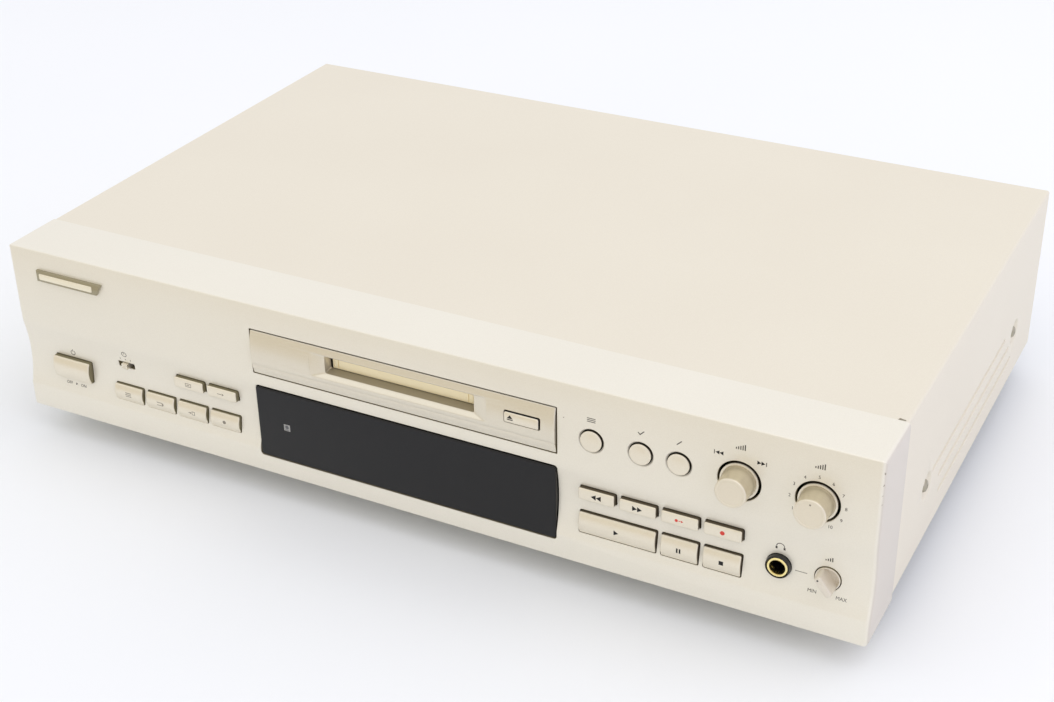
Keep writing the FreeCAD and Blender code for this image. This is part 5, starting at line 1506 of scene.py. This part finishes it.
jack_x, jack_up = middle_of("jack_ring")[:2]
barrel = turned("jack_barrel", (jack_x, 0, jack_up),
                [(0, -JACK_PROUD)] + rounding(0.35, -90, 0, JACK_RADIUS - 0.35, -JACK_PROUD + 0.35)
                + [(JACK_RADIUS, 5.7), (0, 5.7)], steps=72)
jack_block = slab("moulded_headphone_jack", jack_x, jack_up,
                  edged(13.0, 13.0, 5.5, JACK_REAR, 0.4), 0.5)
welded(jack_block, barrel)
bore = turned("jack_bore", (jack_x, 0, jack_up),
              [(0, -3), (JACK_RING_RADIUS + 0.3, -3), (JACK_RING_RADIUS + 0.3, -JACK_PROUD - 0.05),
               (JACK_RING_RADIUS, -JACK_PROUD + 0.45),
               (JACK_RING_RADIUS, JACK_RING_LENGTH - JACK_PROUD),
               (JACK_BORE, JACK_RING_LENGTH - JACK_PROUD), (JACK_BORE, 31.5), (0, 31.5)], steps=72)
carved(jack_block, [bore])
contact = slab("jack_contact", jack_x + 0.7, jack_up - 1.6, [(1.1, 0.7, 5.0), (1.1, 1.2, 9.0)], 0.25)
fit(contact, ground_steel, "case", "black_plastic")
gloss_black = blotched("gloss_black", 3, (14, 14, 15), (24, 24, 25), (0.12, 0.1, 0.9), specular=0.5)
fit(jack_block, gloss_black, "case", "black_plastic", "headphone_jack")

ring_front = -JACK_PROUD
ring = turned("gold_jack_ring", (jack_x, 0, jack_up),
              [(JACK_BORE + 0.45, ring_front + 0.02), (JACK_RING_RADIUS - 0.3, ring_front + 0.02),
               (JACK_RING_RADIUS - 0.02, ring_front + 0.3),
               (JACK_RING_RADIUS - 0.02, ring_front + JACK_RING_LENGTH),
               (JACK_BORE, ring_front + JACK_RING_LENGTH), (JACK_BORE, ring_front + 0.6),
               (JACK_BORE + 0.15, ring_front + 0.2)], steps=72, looped=True)
gold = blotched("gold_plate", 1.5, (246, 224, 144), (254, 242, 186), (0.2, 0.1, 0.5), metallic=1.0)
fit(ring, gold, "case", "plated_brass", "jack_ring")


# ---------------------------------------------------------------- printed marks and badge plate
# Scale numbers and small words are screen-printed on the panel in dark grey; a blank metal
# plate with a slanted end is stuck near the upper left corner.

def lettered(text, x, up, height):
    """The polygons of a short word or number, centred, its capitals a given height."""
    curve = bpy.data.curves.new("lettering", "FONT")
    curve.body = text
    curve.size = height / 0.73
    curve.align_x = "CENTER"
    curve.resolution_u = 4
    lettering = placed("lettering", curve)
    mesh = bpy.data.meshes.new_from_object(
        lettering.evaluated_get(bpy.context.evaluated_depsgraph_get()))
    shapes = [[(x + mesh.vertices[index].co.x, up - height / 2 + mesh.vertices[index].co.y)
               for index in face.vertices] for face in mesh.polygons]
    bpy.data.objects.remove(lettering)
    bpy.data.curves.remove(curve)
    return shapes


def arc(x, up, radius, start, end, line, steps=16):
    """A printed arc as a strip of four-sided polygons, its angles in degrees."""
    turns = [math.radians(start + (end - start) * step / steps) for step in range(steps + 1)]
    edges = [[(x + reach * math.cos(turn), up + reach * math.sin(turn)) for turn in turns]
             for reach in (radius - line / 2, radius + line / 2)]
    return [[edges[0][step], edges[1][step], edges[1][step + 1], edges[0][step + 1]]
            for step in range(steps)]


def bars(x, up, heights, pitch=0.62, line=0.3):
    """Upright bars side by side on one line, such as a level sign."""
    left = x - pitch * (len(heights) - 1) / 2
    return [block(left + pitch * index, up + height / 2, line, height)
            for index, height in enumerate(heights)]


SCALE_RADIUS = 11.3
SCALE_HEIGHT = 1.5
SIGN_GROWTH = 1.45
WORD_UP = 15.4

panel_ink = ink("panel_ink", (56, 52, 47), (72, 68, 62))


def on_panel(name, shapes, colour=panel_ink):
    """Marks printed on the panel's face."""
    return printed(name, shapes, panel_face, "case", colour, "champagne_panel")


numbers = []
for number in range(11):
    turn = math.radians((number - 5) * 30)
    numbers += lettered(str(number), scale_x + SCALE_RADIUS * math.sin(turn),
                        scale_up + SCALE_RADIUS * math.cos(turn), SCALE_HEIGHT)
on_panel("level_scale_numbers", numbers)
menu_x, yes_x, clear_x = (middle_of(node)[0] for node in ROUND_NODES)
jog_x = middle_of("jog_knob")[0]
power_x = middle_of("power_button")[0]
signs = {
    "menu_sign": [block(menu_x, 69.4 + 0.55 * row, 2.6, 0.22) for row in range(3)],
    "yes_sign": [[(yes_x + offset, up) for offset, up in stroke] for stroke in (
        ((-0.9, 69.9), (-0.7, 70.1), (-0.2, 69.6), (-0.2, 69.2)),
        ((-0.2, 69.2), (-0.2, 69.6), (0.9, 70.7), (1.1, 70.5)))],
    "clear_sign": [[(clear_x - 0.8, 69.3), (clear_x - 0.6, 69.1), (clear_x + 0.8, 70.5),
                    (clear_x + 0.6, 70.7)]],
    "jog_sign": bars(jog_x, 74.3, (0.6, 0.9, 1.2, 1.5, 1.8)),
    "level_sign": bars(scale_x, 74.7, (0.6, 0.9, 1.2, 1.5, 1.8)),
    "phones_sign": arc(jack_x + 0.2, 33.2, 1.15, 0, 180, 0.22) + [
        block(jack_x + 0.2 + side * 1.15, 32.7, 0.55, 0.8) for side in (-1, 1)],
    "phones_level_sign": bars(phones_x, 32.6, (0.5, 0.8, 1.1, 1.4)),
    "power_sign": arc(power_x, 31.9, 0.85, 120, 420, 0.22) + [block(power_x, 32.7, 0.22, 0.9)],
    "timer_sign": arc(slider_x, 39.5, 0.9, 0, 360, 0.2) + [block(slider_x, 39.75, 0.18, 0.6)],
}


def enlarged(shapes, factor):
    """Printed shapes made larger about their common middle."""
    points = [point for shape in shapes for point in shape]
    x, up = (sum(point[axis] for point in points) / len(points) for axis in (0, 1))
    return [[(x + (px - x) * factor, up + (pz - up) * factor) for px, pz in shape]
            for shape in shapes]


for name, shapes in signs.items():
    on_panel(name, enlarged(shapes, SIGN_GROWTH))
on_panel("jog_scale_arrows", symbol("rewind", jog_x - 8.6, 70.3, 1.8)
         + [block(jog_x - 10.7, 70.3, 0.3, 1.8)] + symbol("forward", jog_x + 8.6, 70.2, 1.8)
         + [block(jog_x + 10.7, 70.2, 0.3, 1.8)], black_ink)
on_panel("phones_scale_words",
         lettered("MIN", 186.8, 16.9, 1.55) + lettered("MAX", 198.8, 16.8, 1.55))
on_panel("phones_link_line", [block(181.6, 23.7, 5.0, 0.3)], grey_ink)
on_panel("power_words", lettered("OFF", power_x - 3.9, WORD_UP, 1.5)
         + lettered("ON", power_x + 4.6, WORD_UP, 1.5) + [arrow(power_x + 0.5, WORD_UP, 1.2)])
on_panel("timer_ticks", [block(slider_x + offset, 36.6, 0.25, 0.8) for offset in (-3.0, 0.0, 3.0)])

BADGE = (-195.0, -157.0, 69.2, 74.8)
left, right, base, top = BADGE
badge_outline = [(left, base), (right - 3.2, base), (right, top), (left, top)]
badge_rings = []
for inset, depth in ((0.0, 0.02), (0.0, -1.1), (0.12, -1.35), (0.4, -1.5)):
    badge_rings.append([at(x + (inset if x == left else -inset), depth,
                           up + (inset if up == base else -inset)) for x, up in badge_outline])
badge = lofted("blank_badge_plate", badge_rings)
for name, plate_piece, low_tone, high_tone, metal in (
        ("badge_olive", badge, tone(150, 142, 116), tone(172, 164, 138), 0.5),
        ("badge_cream", slab("badge_bar", -177.6, 72.0, edged(31.0, 3.0, -1.95, -1.3, 0.3), 0.8),
         tone(236, 228, 204), tone(246, 240, 220), 0.4)):
    badge_metal, place = finish(name, metallic=metal)
    brushed = noise(place, 0.2, 3, (40, 1, 1))
    vary(badge_metal, colour=mixed(brushed, low_tone, high_tone), roughness=0.28 + 0.12 * brushed)
    fit(plate_piece, badge_metal, "case", "champagne_panel")


# ---------------------------------------------------------------- top cover
# One sheet of steel bent down over both sides, its screw places dished and three long
# grooves pressed in each side, then painted satin champagne with a fine texture.

COVER_BEND = 1.2
COVER_STEEL = 1.0
COVER_LIP = 0.3
DISH_RIM, DISH_FLOOR, DISH_DEPTH = 6.7, 5.4, 1.5
SIDE_SCREWS = [(74.5, 28.5), (226.0, 26.5)]
SIDE_GROOVES = [(82.0, 206.0, 32.0), (94.0, 217.0, 22.5), (97.0, 225.0, 13.0)]
GROOVE_HALF = 1.3
GROOVE_DEPTH = 1.3
NICK = ((205.8, 0.0), (206.2, 1.9), (208.9, 1.3))

cover_low, cover_high = span("top_cover")


def settle(distance, inner, outer):
    """1 inside, 0 outside, and smooth between two distances."""
    share = min(1.0, max(0.0, (outer - distance) / (outer - inner)))
    return share * share * (3 - 2 * share)


def pressed(depth, up):
    """How far the cover's side is pressed in at a place."""
    sunk = 0.0
    for near, far, middle in SIDE_GROOVES:
        past = max(near + GROOVE_HALF - depth, depth - far + GROOVE_HALF, 0.0)
        sunk = max(sunk, GROOVE_DEPTH * settle(math.hypot(past, up - middle), 0.75, GROOVE_HALF))
    for middle_depth, middle_up in SIDE_SCREWS:
        away = math.hypot(depth - middle_depth, up - middle_up)
        sunk = max(sunk, DISH_DEPTH * settle(away, DISH_FLOOR - 0.3, DISH_RIM + 0.3))
    return sunk


def spaced(start, end, fine, step_fine, step_coarse):
    """Stations from start to end, close together inside the fine ranges."""
    stations = [start]
    while stations[-1] < end - 1e-6:
        here = stations[-1]
        inside = any(low - 0.01 <= here < high for low, high in fine)
        ahead = [low for low, _ in fine if low > here + 0.01]
        reach = here + (step_fine if inside else step_coarse)
        if not inside and ahead:
            reach = min(reach, min(ahead))
        stations.append(min(reach, end))
    return stations


ups = spaced(0.0, cover_high.z - COVER_BEND, [(11.5, 14.5), (20.2, 35.2)], 0.25, 8.0)
depth_ranges = [(67.6, 83.6), (92.6, 98.6), (203.6, 233.0)]
depths = spaced(cover_low.y + COVER_LIP, cover_high.y, depth_ranges, 0.6, 14.0)
bend = [(COVER_BEND * (1 - math.cos(turn)), COVER_BEND * math.sin(turn))
        for turn in (math.radians(90 * step / 6) for step in range(1, 7))]
side = cover_high.x
section = [(side, up, up) for up in ups]
section += [(side - across, cover_high.z - COVER_BEND + rise, None) for across, rise in bend]
section += [(x, cover_high.z, None) for x, _ in reversed(NICK)]
section += [(side * (1 - step / 4) - (COVER_BEND * (1 - step / 4)), cover_high.z, None)
            for step in range(1, 5)]
section += [(-x, up, wall_up) for x, up, wall_up in reversed(section[:-1])]
built = bmesh.new()
grid = []
for x, up, wall_up in section:
    row = []
    for depth in depths:
        sunk = pressed(depth, wall_up) if wall_up is not None else 0.0
        nick = dict(NICK).get(x, 0.0) if depth == depths[0] else 0.0
        row.append(built.verts.new(at(x - math.copysign(sunk, x), depth + nick, up)))
    grid.append(row)
for low_row, high_row in zip(grid, grid[1:]):
    for index in range(len(depths) - 1):
        built.faces.new((low_row[index], low_row[index + 1], high_row[index + 1], high_row[index]))
bmesh.ops.recalc_face_normals(built, faces=built.faces)
cover = shaped("bent_top_cover", built)
if cover.data.polygons[0].normal.x < 0:
    cover.data.flip_normals()
wall = cover.modifiers.new("steel", "SOLIDIFY")
wall.thickness = COVER_STEEL * MM
wall.offset = -1.0
settled(cover)
soften(cover.data, 50)
cover_paint, place = finish("cover_paint", metallic=0.22, coat=0.12, coat_roughness=0.3)
flake = grains(place, 0.25)
cloud = noise(place, 90)
vary(cover_paint,
     colour=mixed(flake * 0.5 + cloud * 0.5, tone(224, 216, 199), tone(232, 226, 210)),
     roughness=0.42 + 0.06 * flake + 0.05 * cloud,
     height=0.008 * noise(place, 0.9) + 0.002 * flake)
fit(cover, cover_paint, "case", "cover_paint", "top_cover")


# ---------------------------------------------------------------- case screws
# Eight like steel screws with domed heads and cross recesses: two low on each side in the
# cover's dishes and four at the rear, each stopped at its own angle.

SCREW_HEAD = 2.9
SCREW_HEIGHT = 2.0
SCREW_SHANK = 1.5
SCREW_LENGTH = 5.0
REAR_SCREWS = [(-198, 20), (198, 20), (-198, 42), (198, 42)]

screw_profile = [(0, SCREW_HEIGHT)]
screw_profile += [(SCREW_HEAD * math.sin(turn) * 0.86, SCREW_HEIGHT - 0.75 * (1 - math.cos(turn)))
                  for turn in (math.radians(90 * step / 5) for step in range(1, 5))]
screw_profile += [(SCREW_HEAD - 0.05, 0.75), (SCREW_HEAD, 0.5), (SCREW_HEAD, 0.15),
                  (SCREW_HEAD - 0.15, 0.0), (SCREW_SHANK, 0.0), (SCREW_SHANK, -SCREW_LENGTH + 0.6),
                  (0.7, -SCREW_LENGTH), (0, -SCREW_LENGTH)]
screw = turned("screw_model", -ORIGIN / MM, screw_profile, along="z", steps=36)
recess_arms = []
for turn in (0.0, math.pi / 2):
    spin = Matrix.Rotation(turn, 3, "Z")
    rings = [[spin @ Vector((dx, dy, height)) * MM
              for dx, dy in rounded_outline(long, wide, 0.12, 2)]
             for long, wide, height in ((0.9, 0.35, 0.55), (3.1, 0.62, SCREW_HEIGHT + 0.3))]
    recess_arms.append(lofted(f"recess_arm_{turn:.0f}", rings))
carved(screw, recess_arms)
screw_steel = blotched("screw_steel", 1.5, (156, 150, 132), (188, 182, 164), (0.24, 0.16, 0.4),
                       (0.004, 0.2), metallic=1.0)
seat = cover_high.x - DISH_DEPTH
points, aims = [], []
for side in (-1, 1):
    for depth, up in SIDE_SCREWS:
        points.append(at(side * seat, depth, up))
        aims.append((side, 0, 0))
screw_face = span("rear_panel")[1].y
for x, up in REAR_SCREWS:
    points.append(at(x, screw_face, up))
    aims.append((0, 1, 0))
screws = grown("cross_head_case_screws", piece_tree, points, aims, piece=screw, finish=screw_steel,
               roll=2 * math.pi, seed=5)
bpy.data.objects.remove(screw)
fit(screws, screw_steel, "case", "screw_steel", "case_screws")


# ---------------------------------------------------------------- table, light and camera
# The deck stands on a wide white surface under soft light from above and in front.

table_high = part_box("foot_pads")[0].z
TABLE_REACH = 6.0
TABLE_FRONT = -0.3
table_mesh = bpy.data.meshes.new("white_table")
table_mesh.from_pydata([(x, y, table_high) for x, y in (
    (-TABLE_REACH, TABLE_FRONT), (TABLE_REACH, TABLE_FRONT), (TABLE_REACH, TABLE_REACH),
    (-TABLE_REACH, TABLE_REACH))], [], [(0, 1, 2, 3)])
table = placed("white_table", table_mesh)
table_white, place = finish("table_white", specular=0.25)
vary(table_white,
     colour=mixed(noise(place, 400), (0.86, 0.88, 0.90), (0.90, 0.915, 0.93)),
     roughness=0.75 + 0.1 * noise(place, 30))
table.data.materials.append(table_white)

LOW_BAND = (0.06, 0.34)
HIGH_BAND_START = (0.34, 0.5)
HIGH_BAND_END = (0.8, 0.95)

world = bpy.data.worlds.new("soft_studio")
bpy.context.scene.world = world
world.use_nodes = True
sky_tree = world.node_tree
sky_tree.nodes.clear()
sky = Wire(sky_tree)
direction = sky.node("ShaderNodeTexCoord", output="Generated")
rise = direction.axis("Z")
low_band = 1 - ramp(rise, *LOW_BAND)
front_side = ramp(0.0 - direction.axis("Y"), -0.2, 0.6)
light_seen = mixed(low_band * front_side, (0.98, 0.98, 1.0), (0.80, 0.71, 0.54))
high_band = ramp(rise, *HIGH_BAND_START) * (1 - ramp(rise, *HIGH_BAND_END))
light_seen = mixed(high_band * front_side, light_seen, (1.3, 1.28, 1.23))
light_seen = mixed(ramp(direction.axis("X"), 0.1, 0.8), light_seen, (1.06, 1.04, 1.18))
glow = sky.node("ShaderNodeBackground", None, {"Color": light_seen, "Strength": 0.93})
plain = sky.node("ShaderNodeBackground", None, {"Color": (0.97, 0.98, 1.0), "Strength": 1.0})
seen = sky.node("ShaderNodeLightPath", output="Is Camera Ray")
both = sky.node("ShaderNodeMixShader", None, {0: seen, 1: glow, 2: plain})
sky.node("ShaderNodeOutputWorld", None, {"Surface": both})

SOFTBOX_SIZE = 1.6
SOFTBOX_PLACE = (0.75, -0.1, 1.7)
SOFTBOX_TILT = (0.06, 0.42, 0.0)
SOFTBOX_POWER = 6.5
softbox_light = bpy.data.lights.new("overhead_softbox", "AREA")
softbox_light.shape = "RECTANGLE"
softbox_light.size = SOFTBOX_SIZE
softbox_light.size_y = SOFTBOX_SIZE
softbox_light.energy = SOFTBOX_POWER
softbox = placed("overhead_softbox", softbox_light)
softbox.location = SOFTBOX_PLACE
softbox.rotation_euler = SOFTBOX_TILT

CAMERA_PLACE = (0.341611, -0.660473, 0.449856)
CAMERA_YAW = 27.888
CAMERA_PITCH = 29.6057
CAMERA_ROLL = -0.9825
CAMERA_LENS = 58.671

yaw, pitch, roll = (math.radians(angle) for angle in (CAMERA_YAW, CAMERA_PITCH, CAMERA_ROLL))
forward = Vector((-math.sin(yaw) * math.cos(pitch), math.cos(yaw) * math.cos(pitch),
                  -math.sin(pitch)))
right = Vector((math.cos(yaw), math.sin(yaw), 0.0))
above = right.cross(forward)
across = math.cos(roll) * right + math.sin(roll) * above
upright = -math.sin(roll) * right + math.cos(roll) * above
camera_data = bpy.data.cameras.new("camera")
camera_data.lens = CAMERA_LENS
camera_data.sensor_width = 36.0
camera_data.clip_start = 0.01
camera = placed("camera", camera_data)
camera.matrix_world = Matrix.Translation(CAMERA_PLACE) @ Matrix(
    (across, upright, -forward)).transposed().to_4x4()
bpy.context.scene.camera = camera
bpy.context.scene.view_settings.view_transform = "Standard"
